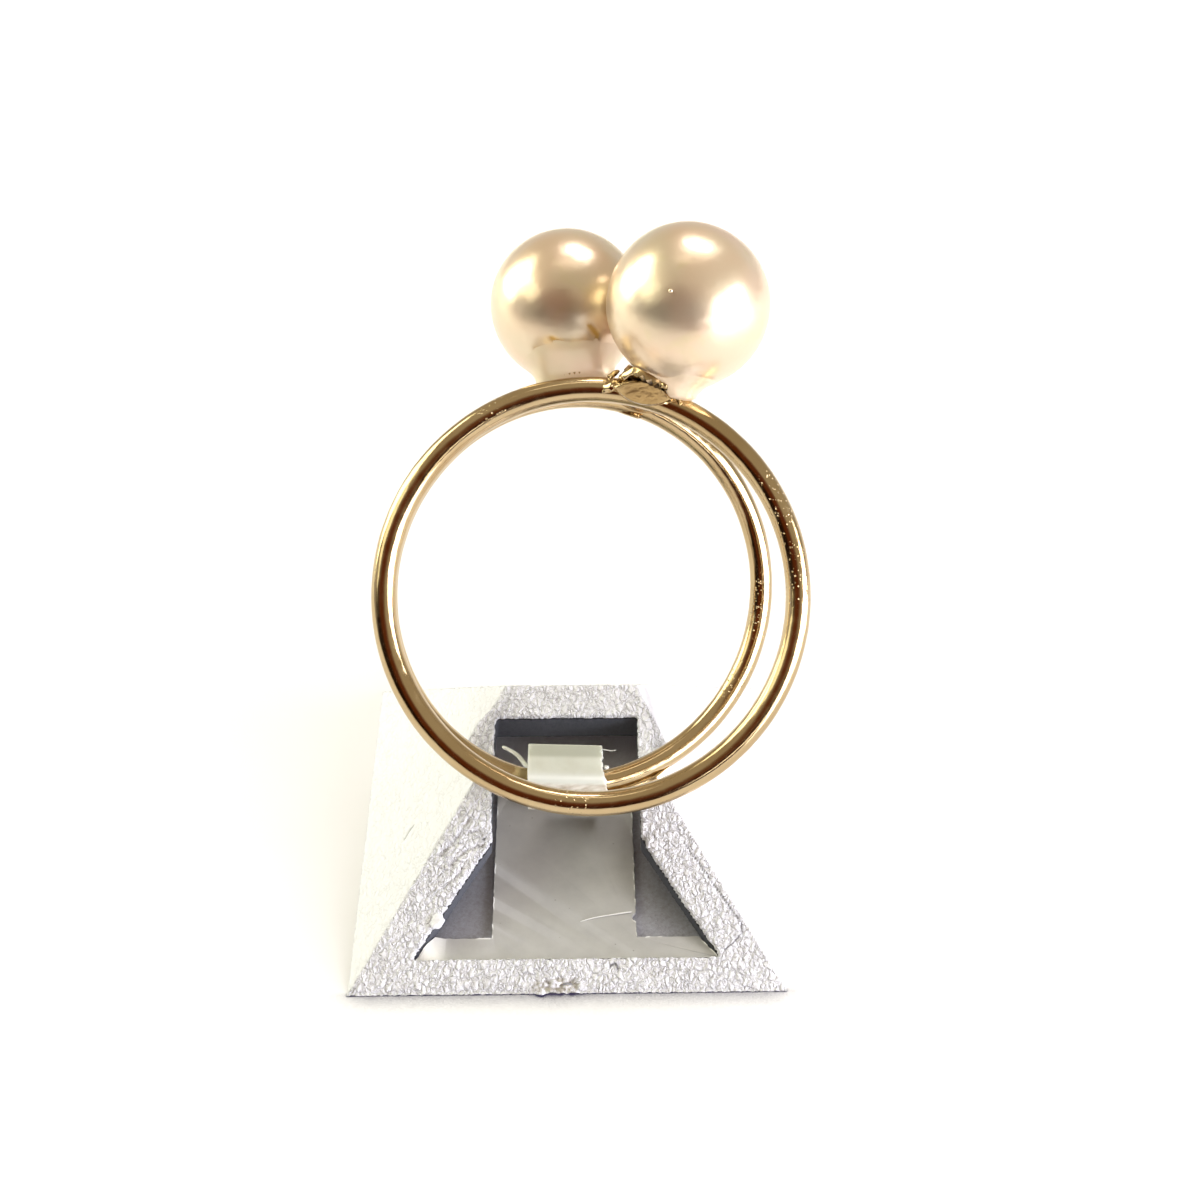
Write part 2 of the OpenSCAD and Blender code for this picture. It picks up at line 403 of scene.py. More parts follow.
def gold_material(settings):
    """Polished yellow gold: mirror bright, with a soft waviness and fine scratches.

    Its vertex colours give, in red, where it is pitted, in green where it was filed and left
    dull, and in blue painted shade, which darkens corners and a pit where shade falls."""
    material, tree, place = new_material("Polished yellow gold")
    if tree is None:
        return material
    waves = noise_at(tree, place, 1.1, detail=1.0)
    normal = bump(tree, waves, 0.02)
    wear_and_shade = channels(tree, painted(tree, "wear_and_shade"))
    cells = add_node(tree, "ShaderNodeTexVoronoi", {"Vector": place, "Scale": 8.0}, feature="F1")
    chosen = remap(tree, channels(tree, cells.outputs["Color"])["Red"], 0.62, 0.68)
    pits = remap(tree, cells.outputs["Distance"], 0.1, 0.35, 1.0, 0.0)
    pits = math_node(tree, "MULTIPLY", math_node(tree, "MULTIPLY", pits, chosen), wear_and_shade["Red"])
    normal = bump(tree, math_node(tree, "SUBTRACT", 1.0, pits), 0.03, normal=normal)
    filed = math_node(tree, "MULTIPLY", noise_at(tree, place, 2.2, detail=3.0), wear_and_shade["Green"])
    normal = bump(tree, filed, 0.12, normal=normal)
    stretch = add_node(tree, "ShaderNodeMapping", {"Vector": place, "Scale": (1.0, 0.15, 1.0),
                                                   "Rotation": (0.3, 0.5, 0.4)}).outputs["Vector"]
    scratches = noise_at(tree, stretch, 24.0, detail=3.0, roughness=0.7)
    normal = bump(tree, scratches, 0.0014, normal=normal)
    rough = remap(tree, noise_at(tree, place, 2.5, detail=3.0), 0.3, 0.75, 0.07, 0.2)
    rough = add_node(tree, "ShaderNodeMath", {0: wear_and_shade["Green"], 1: 0.3, 2: rough},
                     operation="MULTIPLY_ADD").outputs["Value"]
    tone = blend(tree, remap(tree, noise_at(tree, place, 0.3), 0.35, 0.7),
                 (*settings.gold, 1.0), linear_colour("#bba27a"))
    tone = blend(tree, wear_and_shade["Green"], tone, linear_colour("#bd9c68"))
    # painted shade: blue darkens corners, a pit and the cups' undersides, where shade falls
    tone = blend(tree, wear_and_shade["Blue"], tone, linear_colour("#2a1910"))
    return finish_material(material, {"Base Color": tone, "Metallic": 1.0, "Roughness": rough,
                                      "Normal": normal})


def nacre_material(settings):
    """Pearl nacre: a cream body under a deep satin lustre, with faint pink and green overtones."""
    return nacre("Cream pearl nacre", settings.nacre, roughness=0.3, gloss=0.15, metallic=0.76)


def glue_material(settings):
    """Dried clear glue: a thin wet-looking fillet through which the nacre shows."""
    return nacre("Dried clear glue over nacre", settings.glue, roughness=0.36, gloss=0.3,
                 metallic=0.3)


def nacre(name, body, roughness, gloss, metallic):
    """Layered pearl: clouded cream and buff, with golden growth lines where they are painted."""
    material, tree, place = new_material(name)
    if tree is None:
        return material
    cloud = remap(tree, noise_at(tree, place, 0.32, detail=2.0), 0.35, 0.65)
    tone = blend(tree, cloud, (*body, 1.0), linear_colour("#eed3b8"))
    patch = remap(tree, noise_at(tree, place, 0.55, detail=3.0, distortion=0.6), 0.56, 0.75, 0, 0.5)
    tone = blend(tree, patch, tone, linear_colour("#e4d5a6"))
    tone = blend(tree, painted(tree, "growth"), tone, linear_colour("#c9a566"))
    normal = bump(tree, noise_at(tree, place, 0.9, detail=2.0), 0.03)
    normal = bump(tree, noise_at(tree, place, 9.0, detail=2.0), 0.002, normal=normal)
    return finish_material(material, {
        "Base Color": tone, "Metallic": metallic, "Roughness": roughness, "IOR": 1.6,
        "Coat Weight": gloss, "Coat Roughness": 0.1, "Coat IOR": 1.5, "Normal": normal})


def leatherette_material(settings):
    """White PU leatherette: soft pebbles in the mesh, and here worm-like valleys in painted shade.

    The grain attribute gives how strong the grain is in red, where the skin is torn in green and
    where a dark line or shade runs in blue."""
    material, tree, place = new_material("White pebbled leatherette")
    if tree is None:
        return material
    marks = channels(tree, painted(tree, "grain"))
    warp = add_node(tree, "ShaderNodeTexNoise", {"Vector": place, "Scale": 3.6, "Detail": 2.0})
    warp = add_node(tree, "ShaderNodeVectorMath", {0: warp.outputs["Color"], 1: (0.42, 0.6, 0.42),
                                                   2: place}, operation="MULTIPLY_ADD")
    drawn = add_node(tree, "ShaderNodeMapping", {"Vector": warp.outputs["Vector"],
                                                 "Scale": (1.0, 0.6, 0.75)}).outputs["Vector"]
    pebbles = add_node(tree, "ShaderNodeTexVoronoi", {"Vector": drawn, "Scale": 3.7},
                       feature="DISTANCE_TO_EDGE").outputs["Distance"]
    valley = remap(tree, pebbles, 0.01, 0.1, 1.0, 0.0)
    some = remap(tree, noise_at(tree, drawn, 2.4, detail=3.0), 0.42, 0.6, 0.05, 1.0)
    valley = math_node(tree, "MULTIPLY", math_node(tree, "MULTIPLY", valley, some), marks["Red"])
    # painted shade: the valleys between the pebbles are darkened, standing in for the shade in them
    shaded = math_node(tree, "MULTIPLY", valley, 0.62)
    tone = blend(tree, shaded, (*settings.leatherette, 1.0), linear_colour("#8f8c96"))
    tone = blend(tree, marks["Green"], tone, linear_colour("#b7b0a6"))
    tone = blend(tree, marks["Blue"], tone, linear_colour("#4c4a4e"))
    domes = math_node(tree, "MULTIPLY", remap(tree, pebbles, 0.0, 0.3), marks["Red"])
    normal = bump(tree, domes, 0.09)
    pores = noise_at(tree, place, 9.0, detail=4.0, roughness=0.65)
    normal = bump(tree, pores, 0.02, normal=normal)
    rough = remap(tree, pores, 0.3, 0.7, 0.45, 0.62)
    return finish_material(material, {"Base Color": tone, "Roughness": rough, "IOR": 1.5,
                                      "Normal": normal})


def board_material(settings):
    """Raw grey board: dull and fibrous, the unfinished inside of the stand."""
    return board("Raw grey board", settings.board, "#8f8e96")


def wall_material():
    """The board's thickness where it was cut through, in painted shade darker than its face."""
    return board("Cut grey board in painted shade", linear_colour("#53555f", alpha=False), "#484a54")


def edge_material():
    """The line under the leatherette's edge, painted dark as the shade under the cover's edge."""
    return board("Dark line of painted shade", linear_colour("#303036", alpha=False), "#26262b")


def board(name, tint, other):
    """Fibrous board of two mixed colours, paler where light is painted on it."""
    material, tree, place = new_material(name)
    if tree is None:
        return material
    fibres = noise_at(tree, place, 6.0, detail=5.0, roughness=0.7, distortion=0.5)
    tone = blend(tree, remap(tree, fibres, 0.35, 0.7), (*tint, 1.0), linear_colour(other))
    # painted light: a pale tint stands in for the light that reaches the board
    tone = blend(tree, painted(tree, "painted_light"), tone, linear_colour("#f0eff6"))
    return finish_material(material, {"Base Color": tone, "Roughness": 0.85,
                                      "Normal": bump(tree, fibres, 0.02)})


def sheet_material(settings):
    """Cut white plastic sheet: smooth, with a dull sheen, paler at its torn edges and its
    painted-light end.
    """
    material, tree, place = new_material("White plastic sheet")
    if tree is None:
        return material
    marks = noise_at(tree, place, 0.8, detail=4.0, roughness=0.6)
    tone = blend(tree, remap(tree, marks, 0.4, 0.7), (*settings.sheet, 1.0),
                 linear_colour("#b2b1b3"))
    specks = add_node(tree, "ShaderNodeTexVoronoi", {"Vector": place, "Scale": 1.3}, feature="F1")
    specks = remap(tree, specks.outputs["Distance"], 0.035, 0.06, 0.6, 0.0)
    tone = blend(tree, specks, tone, linear_colour("#77716c"))
    # painted light: white on the bent end as if the light struck it; on the torn edge, partly
    # painted highlight
    tone = blend(tree, painted(tree, "torn_or_lit"), tone, linear_colour("#ffffff"))
    normal = bump(tree, noise_at(tree, place, 5.0, detail=3.0), 0.006)
    rough = remap(tree, marks, 0.3, 0.7, 0.4, 0.55)
    return finish_material(material, {"Base Color": tone, "Roughness": rough, "Normal": normal})


def clip_material(settings):
    """Milky polyethylene strap: half clear, so that light glows through it, and softly glossy."""
    material, tree, place = new_material("Milky polyethylene")
    if tree is None:
        return material
    haze = noise_at(tree, place, 1.5, detail=3.0)
    tone = blend(tree, remap(tree, haze, 0.35, 0.7), (*settings.clip, 1.0),
                 linear_colour("#d6d8d0"))
    facet_light_and_tone = channels(tree, painted(tree, "facet_light_and_tone"))
    # painted shade: red greys the strap's top, which is lit less
    tone = blend(tree, facet_light_and_tone["Red"], tone, linear_colour("#bcbfb5"))
    streaks = add_node(tree, "ShaderNodeMapping", {"Vector": place, "Scale": (0.5, 3.0, 3.0)})
    streaks = remap(tree, noise_at(tree, streaks.outputs["Vector"], 1.6, detail=3.0), 0.35, 0.62)
    low = blend(tree, streaks, linear_colour("#b3a795"), linear_colour("#dcd8cf"))
    tone = blend(tree, facet_light_and_tone["Blue"], tone, low)
    # painted highlight: green brightens the strap along its fold
    tone = blend(tree, facet_light_and_tone["Green"], tone, linear_colour("#fbfcf6"))
    normal = bump(tree, noise_at(tree, place, 7.0, detail=3.0), 0.008)
    return finish_material(material, {
        "Base Color": tone, "Roughness": 0.32, "IOR": 1.51, "Subsurface Weight": 0.8,
        "Subsurface Scale": 0.5 * MM, "Subsurface Radius": (1.0, 0.95, 0.9), "Normal": normal})


# the ring


def wire_arc(radius, wire_r, start, sweep, steps):
    """A round wire bent to an arc about z; a full turn closes on itself."""
    shape = bmesh.new()
    section = Matrix.Rotation(start, 4, "Z") @ Matrix.Translation((radius, 0, 0))
    bmesh.ops.create_circle(shape, segments=40, radius=wire_r,
                            matrix=section @ Matrix.Rotation(math.pi / 2, 4, "X"))
    full = abs(sweep - math.tau) < 1e-6
    bmesh.ops.spin(shape, geom=shape.verts[:] + shape.edges[:], cent=(0, 0, 0), axis=(0, 0, 1),
                   angle=sweep, steps=steps, use_merge=full)
    if not full:
        bmesh.ops.holes_fill(shape, edges=shape.edges[:], sides=0)
    bmesh.ops.recalc_face_normals(shape, faces=shape.faces[:])
    return shape


def hammer(shape, radius, amount):
    """Lets a wire's thickness drift a little round the band, as drawn and filed wire does."""
    for vert in shape.verts:
        flat = Vector((vert.co.x, vert.co.y, 0)).normalized() * radius
        drift = noise.noise(flat * 0.45) * amount + noise.noise(flat * 1.7) * amount * 0.4
        vert.co += (vert.co - flat).normalized() * drift


def paint(shape, name, tint):
    """Writes a colour attribute; tint gives red, green and blue, from 0 to 1, at a vertex."""
    layer = shape.verts.layers.float_color.new(name)
    for vert in shape.verts:
        vert[layer] = (*tint(vert), 1)


def worn_at(spots):
    """A tint that is 1 near the given turns of a band, each in degrees with its reach."""
    def tint(vert):
        turn = math.degrees(math.atan2(vert.co.y, vert.co.x))
        wear_and_shade = 0.0
        for at, reach in spots:
            off = abs((turn - at + 180) % 360 - 180)
            wear_and_shade = max(wear_and_shade, 1 - smooth_step(reach * 0.5, reach, off))
        return wear_and_shade, 0.0, 0.0
    return tint


# where the bands are pitted and scratched, in degrees: turn from the right, anticlockwise, and
# reach
FRONT_WEAR = ((24, 14), (4, 8), (265, 6), (118, 5))
REAR_WEAR = ((-4, 12), (-28, 8))


# how far, in millimetres, the drawn wire's radius strays, and the steps of a whole band
WIRE_STRAY = 0.012
BAND_STEPS = 384


class RING_OT_bands(bpy.types.Operator):
    """Bends the two bands of gold wire"""

    bl_idname = "pearl_ring.bands"
    bl_label = "Gold Bands"

    def execute(self, context):
        settings = context.scene.pearl_ring
        mm = InMillimetres(settings)
        gold = gold_material(settings)
        for name, radius, wire_r, wear_and_shade, place in (
                ("front_band", mm.front_r, mm.front_wire_r, FRONT_WEAR, Matrix()),
                ("rear_band", mm.rear_r, mm.rear_wire_r, REAR_WEAR, rear_matrix())):
            band = wire_arc(radius, wire_r, 0.0, math.tau, BAND_STEPS)
            hammer(band, radius, WIRE_STRAY)
            paint(band, "wear_and_shade", worn_at(wear_and_shade))
            bmesh.ops.transform(band, matrix=ring_matrix(settings) @ place, verts=band.verts)
            finish_piece(name, band, [gold], "gold", ["ring_metal"])
        return {"FINISHED"}


def blob(at, radii, turns=(0, 0, 0), seed=0, rough=0.0):
    """A lump of melted solder, turned about x, y and z by angles in degrees."""
    shape = bmesh.new()
    bmesh.ops.create_icosphere(shape, subdivisions=3, radius=1.0)
    for vert in shape.verts:
        lump = 1 + rough * noise.noise(vert.co * 1.7 + Vector((seed, 0, 0)))
        vert.co = Vector([c * r * lump for c, r in zip(vert.co, radii)])
    tilt = Euler([math.radians(turn) for turn in turns]).to_matrix().to_4x4()
    bmesh.ops.transform(shape, matrix=Matrix.Translation(at) @ tilt, verts=shape.verts)
    return shape


def lens_bar(arc_r, thickness, length_mm, steps=12):
    """A bar along z whose section is a lens: two arcs that meet in sharp ends."""
    off = arc_r - thickness / 2
    half = math.acos(off / arc_r)
    outline = []
    for side in (1, -1):
        for step in range(steps):
            turn = half - 2 * half * step / steps
            outline.append((side * arc_r * math.sin(turn),
                            side * (arc_r * math.cos(turn) - off), 0))
    return prism(outline, (0, 0, length_mm))


def rod(start, end, radius):
    """A round rod between two points."""
    shape = bmesh.new()
    span = (end - start).length
    bmesh.ops.create_cone(shape, cap_ends=True, segments=32, radius1=radius, radius2=radius,
                          depth=span,
                          matrix=aim_matrix(start, end) @ Matrix.Translation((0, 0, span / 2)))
    return shape


# the bridge: middle of its rear end, a point on its filed front face from there, and that face's
# slope
BRIDGE_AT = Vector((2.35, 9.22, -4.4))
BRIDGE_FACE = Vector((0, -0.33, 5.2))
BRIDGE_SLOPE = math.radians(29)
# lumps of solder in the ring's frame: middle, radii and turns in degrees
SOLDER = (
    ((0.80, 9.58, 0.52), (0.46, 0.34, 0.18), (-30, -36, 8)),
    ((1.25, 9.5, 0.3), (0.4, 0.2, 0.34), (0, 0, 24)),
    ((1.72, 10.1, 0.98), (0.52, 0.25, 0.15), (-36, -30, 28)),
    ((1.02, 10.16, 0.25), (0.46, 0.14, 0.1), (-27, 33, 36)),
    ((1.5, 9.86, 0.45), (0.26, 0.3, 0.35), (0, 0, 40)),
    ((2.05, 9.8, 0.15), (0.6, 0.3, 0.4), (0, 0, 10)),
    ((3.3, 9.5, 1.5), (0.22, 0.16, 0.14), (-30, -20, -30)),
    ((3.5, 9.2, 0.55), (0.42, 0.36, 0.34), (20, 0, -14)),
    ((3.94, 9.36, 0.66), (0.09, 0.13, 0.16), (0, 0, 0)),
    ((4.05, 8.93, 0.5), (0.15, 0.2, 0.24), (0, 0, 0)),
    ((1.85, 8.71, -3.62), (0.62, 0.08, 0.16), (0, 0, -17)),
)
# painted shade in the corner between the bridge and the front cup, and a pit beside the front wire
CORNER_SHADE = Vector((2.5, 9.85, 0.5))
PIT = Vector((3.83, 8.74, 0.5))
# the gap between a pearl, or the wall of its hole, and the metal that the glue fills
GLUE_GAP = 0.06
CUP_TEETH = 30
NECK_R = 0.8
# how finely the solder is meshed, in millimetres
SOLDER_VOXEL = 0.038


class RING_OT_joint(bpy.types.Operator):
    """Melts the bridge into both wires with lumps of solder"""

    bl_idname = "pearl_ring.joint"
    bl_label = "Soldered Joint"

    def execute(self, context):
        settings = context.scene.pearl_ring
        mm = InMillimetres(settings)
        gold = gold_material(settings)
        # the lumps grow on short lengths of both wires, just under the bands' own surface
        under = 0.025
        front = wire_arc(mm.front_r, mm.front_wire_r - under, math.radians(60), math.radians(34),
                         30)
        rear = wire_arc(mm.rear_r, mm.rear_wire_r - under, math.radians(66), math.radians(14), 14)
        bmesh.ops.transform(rear, matrix=rear_matrix(), verts=rear.verts)
        parts = [self.bridge(), front, rear]
        parts += [blob(at, radii, turns, seed, 0.35)
                  for seed, (at, radii, turns) in enumerate(SOLDER)]
        shape = with_modifiers(joined(parts),
                               ("REMESH", {"mode": "VOXEL", "voxel_size": SOLDER_VOXEL}),
                               ("SMOOTH", {"factor": 0.5, "iterations": 4}))
        for vert in shape.verts:
            near = (vert.co - PIT).length
            vert.co.z -= 0.22 * (1 - smooth_step(0.02, 0.17, near))
        shape.normal_update()
        paint(shape, "wear_and_shade", self.filed)
        bmesh.ops.transform(shape, matrix=ring_matrix(settings), verts=shape.verts)
        finish_piece("solder_joint", shape, [gold], "gold", ["ring_metal"])
        return {"FINISHED"}

    def filed(self, vert):
        """Dull on the bridge's filed face; painted shade in the pit beside it and under the cup."""
        flat = Vector((0, -math.sin(BRIDGE_SLOPE), math.cos(BRIDGE_SLOPE)))
        off = abs((vert.co - BRIDGE_AT - BRIDGE_FACE).dot(flat))
        face = (1 - smooth_step(0.05, 0.2, off)) * smooth_step(0.7, 0.95, vert.normal.dot(flat))
        pit = 1 - smooth_step(0.05, 0.16, (vert.co - PIT).length)
        # painted shade in the corner under the front cup, on faces that turn up towards it
        off = vert.co - CORNER_SHADE
        corner_shade = 1 - smooth_step(0.25, 0.45, math.hypot(off.x / 3.2, off.y, off.z))
        corner_shade *= smooth_step(0.2, 0.6, vert.normal.y)
        return 0.0, 0.8 * face, max(pit, 0.95 * corner_shade)

    def bridge(self):
        """A lens-shaped bar, thinner to the rear, whose front face is filed flat at a slope."""
        lens = lens_bar(2.05, 1.04, 6.0)
        for vert in lens.verts:
            if vert.co.z < 0.01:
                vert.co.y *= 0.7
        slope = (0, -math.sin(BRIDGE_SLOPE), math.cos(BRIDGE_SLOPE))
        cut = bmesh.ops.bisect_plane(lens, geom=everything(lens), dist=1e-6,
                                     plane_co=BRIDGE_FACE, plane_no=slope, clear_outer=True)
        rim = only(bmesh.types.BMEdge, cut["geom_cut"])
        bmesh.ops.contextual_create(lens, geom=rim)
        bmesh.ops.bevel(lens, geom=rim, offset=0.1, segments=3, profile=0.5, affect="EDGES",
                        material=-1)
        place = Matrix.Translation(BRIDGE_AT) @ Matrix.Rotation(math.radians(-12), 4, "Z")
        bmesh.ops.transform(lens, matrix=place, verts=lens.verts)
        return lens


def cup(pearl_r, cup_angle, wall, clear, teeth, lopsided):
    """A thin cup under a pearl at the origin, about z, its rim filed into small teeth.

    lopsided is the share of its height that it lacks at the front and on the right."""
    inner = pearl_r + clear
    outer = inner + wall
    steps = 14
    points = [(inner, cup_angle * step / steps) for step in range(steps, -1, -1)]
    points += [(outer, cup_angle * step / steps) for step in range(steps + 1)]
    shape = turned([(radius * math.sin(turn), radius * math.cos(turn))
                    for radius, turn in points], teeth * 6)
    bmesh.ops.remove_doubles(shape, verts=shape.verts[:], dist=1e-4)
    rim = [e for e in shape.edges if e.is_boundary]
    bmesh.ops.bridge_loops(shape, edges=rim)
    for vert in shape.verts:
        radius = vert.co.length
        turn = math.acos(min(1.0, vert.co.z / radius))
        around_at = math.atan2(vert.co.y, vert.co.x)
        share = smooth_step(0.5, 1.0, turn / cup_angle)
        wave = 0.5 + 0.5 * math.cos(teeth * around_at)
        if radius > pearl_r + clear + wall / 2:
            radius -= share * wall * 0.42 * wave
        turn *= 1 - lopsided * smooth_step(-0.7, 0.25, math.cos(around_at))
        vert.co = Vector((math.sin(turn) * math.cos(around_at),
                          math.sin(turn) * math.sin(around_at), math.cos(turn))) * radius
    bmesh.ops.recalc_face_normals(shape, faces=shape.faces[:])
    return shape


class RING_OT_cups(bpy.types.Operator):
    """Turns the two cups, with their necks and pegs"""

    bl_idname = "pearl_ring.cups"
    bl_label = "Pearl Cups"

    def execute(self, context):
        settings = context.scene.pearl_ring
        mm = InMillimetres(settings)
        gold = gold_material(settings)
        for name, at, radius, band, band_r, cup_angle, lopsided in (
                ("front_cup", FRONT_PEARL_AT, mm.front_pearl_r, Matrix(), mm.front_r,
                 settings.front_cup_angle, 0.28),
                ("rear_cup", REAR_PEARL_AT, mm.rear_pearl_r, rear_matrix(), mm.rear_r,
                 settings.rear_cup_angle, 0.0)):
            seat = seat_on_band(at, band, band_r)
            span = (seat - at).length
            bowl = cup(radius, cup_angle, mm.cup_t, GLUE_GAP, CUP_TEETH, lopsided)
            # painted shade on the bowl's underside, in blue
            paint(bowl, "wear_and_shade", lambda vert: (0.0, 0.0, self.bowl_shade(vert, radius, cup_angle)))
            foot = Vector((0, 0, span))
            neck = rod(Vector((0, 0, radius + GLUE_GAP + mm.cup_t / 2)), foot, NECK_R)
            peg = rod(Vector((0, 0, radius - mm.peg_hole_depth + 0.15)), foot,
                      mm.peg_hole_r - GLUE_GAP)
            for part in (neck, peg):
                paint(part, "wear_and_shade", lambda vert: PLAIN)
            shape = joined([bowl, neck, peg])
            bmesh.ops.transform(shape, matrix=ring_matrix(settings) @ aim_matrix(at, seat),
                                verts=shape.verts)
            finish_piece(name, shape, [gold], "gold", ["ring_metal"], sharp=50)
        return {"FINISHED"}

    def bowl_shade(self, vert, radius, cup_angle):
        """Painted shade, darkening the bowl's outside below its teeth, where it lies in shade."""
        turn = math.acos(min(1.0, vert.co.z / vert.co.length)) / cup_angle
        outside = smooth_step(radius + 0.1, radius + 0.2, vert.co.length)
        return 0.92 * outside * (1 - smooth_step(0.74, 0.92, turn))


def fillet(rows, slim, missing, lift):
    """A concave fillet of glue about z, through rows of radius and height.

    slim narrows its foot across the wire. missing and lift give, for a turn about z, the shares
    from 0 to 1 by which the glue has drawn back and by which its foot is raised."""
    shape = turned(rows, 96)
    top, foot = rows[0][1], rows[-1][1]
    for vert in shape.verts:
        turn = math.atan2(vert.co.y, vert.co.x)
        share = (vert.co.z - top) / (foot - top)
        vert.co.y *= 1 - (1 - slim) * smooth_step(0.2, 1.0, share)
        vert.co.xy = vert.co.xy * (1 - 0.45 * missing(turn))
        ripple = noise.noise(Vector((math.cos(turn) * 1.6, math.sin(turn) * 1.6, vert.co.z)))
        vert.co.xy = vert.co.xy * (1 + 0.015 * ripple * smooth_step(0.1, 0.4, share))
        vert.co.z = top + (vert.co.z - top) * (1 - lift(turn))
    bmesh.ops.holes_fill(shape, edges=shape.edges[:], sides=0)
    bmesh.ops.recalc_face_normals(shape, faces=shape.faces[:])
    return shape


# fillets of glue: radius and height from the pearl's middle, towards its seat
REAR_GLUE = ((2.6, 2.53), (2.5, 2.66), (2.4, 2.775), (2.25, 2.94), (2.11, 3.12), (2.0, 3.32),
             (1.92, 3.54), (1.88, 3.76), (1.88, 3.96), (1.93, 4.12), (2.0, 4.25))
FRONT_GLUE = ((2.62, 2.6), (2.52, 2.725), (2.44, 2.82), (2.24, 3.02), (2.07, 3.19),
              (1.92, 3.36), (1.8, 3.54), (1.71, 3.74), (1.66, 3.92), (1.5, 4.06), (1.2, 4.16))


class RING_OT_glue(bpy.types.Operator):
    """Fills the corners between pearls and wire with dried glue"""

    bl_idname = "pearl_ring.glue"
    bl_label = "Dried Glue"

    def execute(self, context):
        settings = context.scene.pearl_ring
        mm = InMillimetres(settings)
        glue = glue_material(settings)
        for name, at, band, band_r, rows, slim, missing, lift in (
                ("front_glue", FRONT_PEARL_AT, Matrix(), mm.front_r, FRONT_GLUE, 0.9,
                 lambda turn: smooth_step(-0.45, -0.85, math.cos(turn)),
                 lambda turn: 0.33 * smooth_step(0.5, -0.1, math.cos(turn))),
                ("rear_glue", REAR_PEARL_AT, rear_matrix(), mm.rear_r, REAR_GLUE, 0.5,
                 lambda turn: 0.0, lambda turn: 0.0)):
            seat = seat_on_band(at, band, band_r)
            shape = fillet(rows, slim, missing, lift)
            bmesh.ops.transform(shape, matrix=ring_matrix(settings) @ aim_matrix(at, seat),
                                verts=shape.verts)
            finish_piece(name, shape, [glue], "pearl")
        return {"FINISHED"}


# the strip: where it starts round the rear band, how far it runs, its inner face beyond the
# middle of the wire, its thickness, its lower edge and its width
STRIP_START, STRIP_SWEEP = math.radians(-113), math.radians(52)
STRIP_OUT, STRIP_T, STRIP_LOW, STRIP_W = 0.4, 0.42, -0.1, 0.65


class RING_OT_strip(bpy.types.Operator):
    """Lays the flat strip of metal along the rear band, through the clip"""

    bl_idname = "pearl_ring.strip"
    bl_label = "Tail Strip"

    def execute(self, context):
        settings = context.scene.pearl_ring
        mm = InMillimetres(settings)
        gold = gold_material(settings)
        inner, outer = mm.rear_r + STRIP_OUT, mm.rear_r + STRIP_OUT + STRIP_T
        low, high = STRIP_LOW, STRIP_LOW + STRIP_W
        shape = bmesh.new()
        corners = [(inner, low), (outer, low), (outer, high), (inner, high)]
        shape.faces.new([shape.verts.new((r, 0, z)) for r, z in corners])
        bmesh.ops.transform(shape, matrix=Matrix.Rotation(STRIP_START, 4, "Z"),
                            verts=shape.verts)
        bmesh.ops.bevel(shape, geom=shape.verts[:], offset=0.09, segments=3, profile=0.5,
                        affect="VERTICES", material=-1)
        bmesh.ops.spin(shape, geom=shape.faces[:] + shape.edges[:] + shape.verts[:],
                       cent=(0, 0, 0), axis=(0, 0, 1), angle=STRIP_SWEEP, steps=90)
        for vert in shape.verts:
            turn = math.atan2(vert.co.y, vert.co.x) - STRIP_START
            share = turn / STRIP_SWEEP
            radius = math.hypot(vert.co.x, vert.co.y)
            thin = smooth_step(0.0, 0.12, share) * (1 - smooth_step(0.9, 1.0, share) * 0.85)
            target = inner + (radius - inner) * (0.15 + 0.85 * thin)
            target += 0.02 * noise.noise(Vector((turn * 9, vert.co.z * 2, 3.0)))
            vert.co.xy = vert.co.xy * (target / radius)
            middle = (low + high) / 2
            vert.co.z = middle + (vert.co.z - middle) * (1 - 0.8 * smooth_step(0.9, 1.0, share))
            vert.co.z += 0.12 * smooth_step(0.85, 1.0, share)
        bmesh.ops.recalc_face_normals(shape, faces=shape.faces[:])
        bmesh.ops.transform(shape, matrix=ring_matrix(settings) @ rear_matrix(),
                            verts=shape.verts)
        finish_piece("tail_strip", shape, [gold], "gold", ["ring_metal"], sharp=60)
        return {"FINISHED"}


def drilled_pearl(radius, hole_r, hole_depth, seed, growth):
    """A pearl about the origin, drilled along z: nearly round, with faint dimples.

    growth gives how strongly a wrinkle shows at a point on the unit sphere, from 0 to 1."""
    shape = bmesh.new()
    bmesh.ops.create_uvsphere(shape, u_segments=144, v_segments=96, radius=radius)
    mouth = math.asin(hole_r / radius)
    gone = [v for v in shape.verts if v.co.z > radius * math.cos(mouth * 0.9)]
    bmesh.ops.delete(shape, geom=gone, context="VERTS")
    rim = [e for e in shape.edges if e.is_boundary]
    for vert in {v for e in rim for v in e.verts}:
        around = Vector((vert.co.x, vert.co.y, 0)).normalized() * hole_r
        vert.co = around + Vector((0, 0, math.sqrt(radius ** 2 - hole_r ** 2)))
    wall = bmesh.ops.extrude_edge_only(shape, edges=rim)
    low = verts_of(wall["geom"])
    bmesh.ops.translate(shape, vec=(0, 0, -hole_depth), verts=low)
    bottom = [e for e in shape.edges if e.is_boundary]
    bmesh.ops.holes_fill(shape, edges=bottom, sides=0)
    layer = shape.verts.layers.float_color.new("growth")
    for vert in shape.verts:
        if vert in low:
            continue
        unit = vert.co.normalized()
        swell = noise.noise(unit * 1.3 + Vector((seed, 0, 0))) * 0.03
        swell += noise.noise(unit * 3.4 + Vector((seed, 5, 0))) * 0.008
        line = growth(unit)
        vert.co += unit * (swell - 0.02 * line)
        vert[layer] = (line, line, line, 1)
    return shape


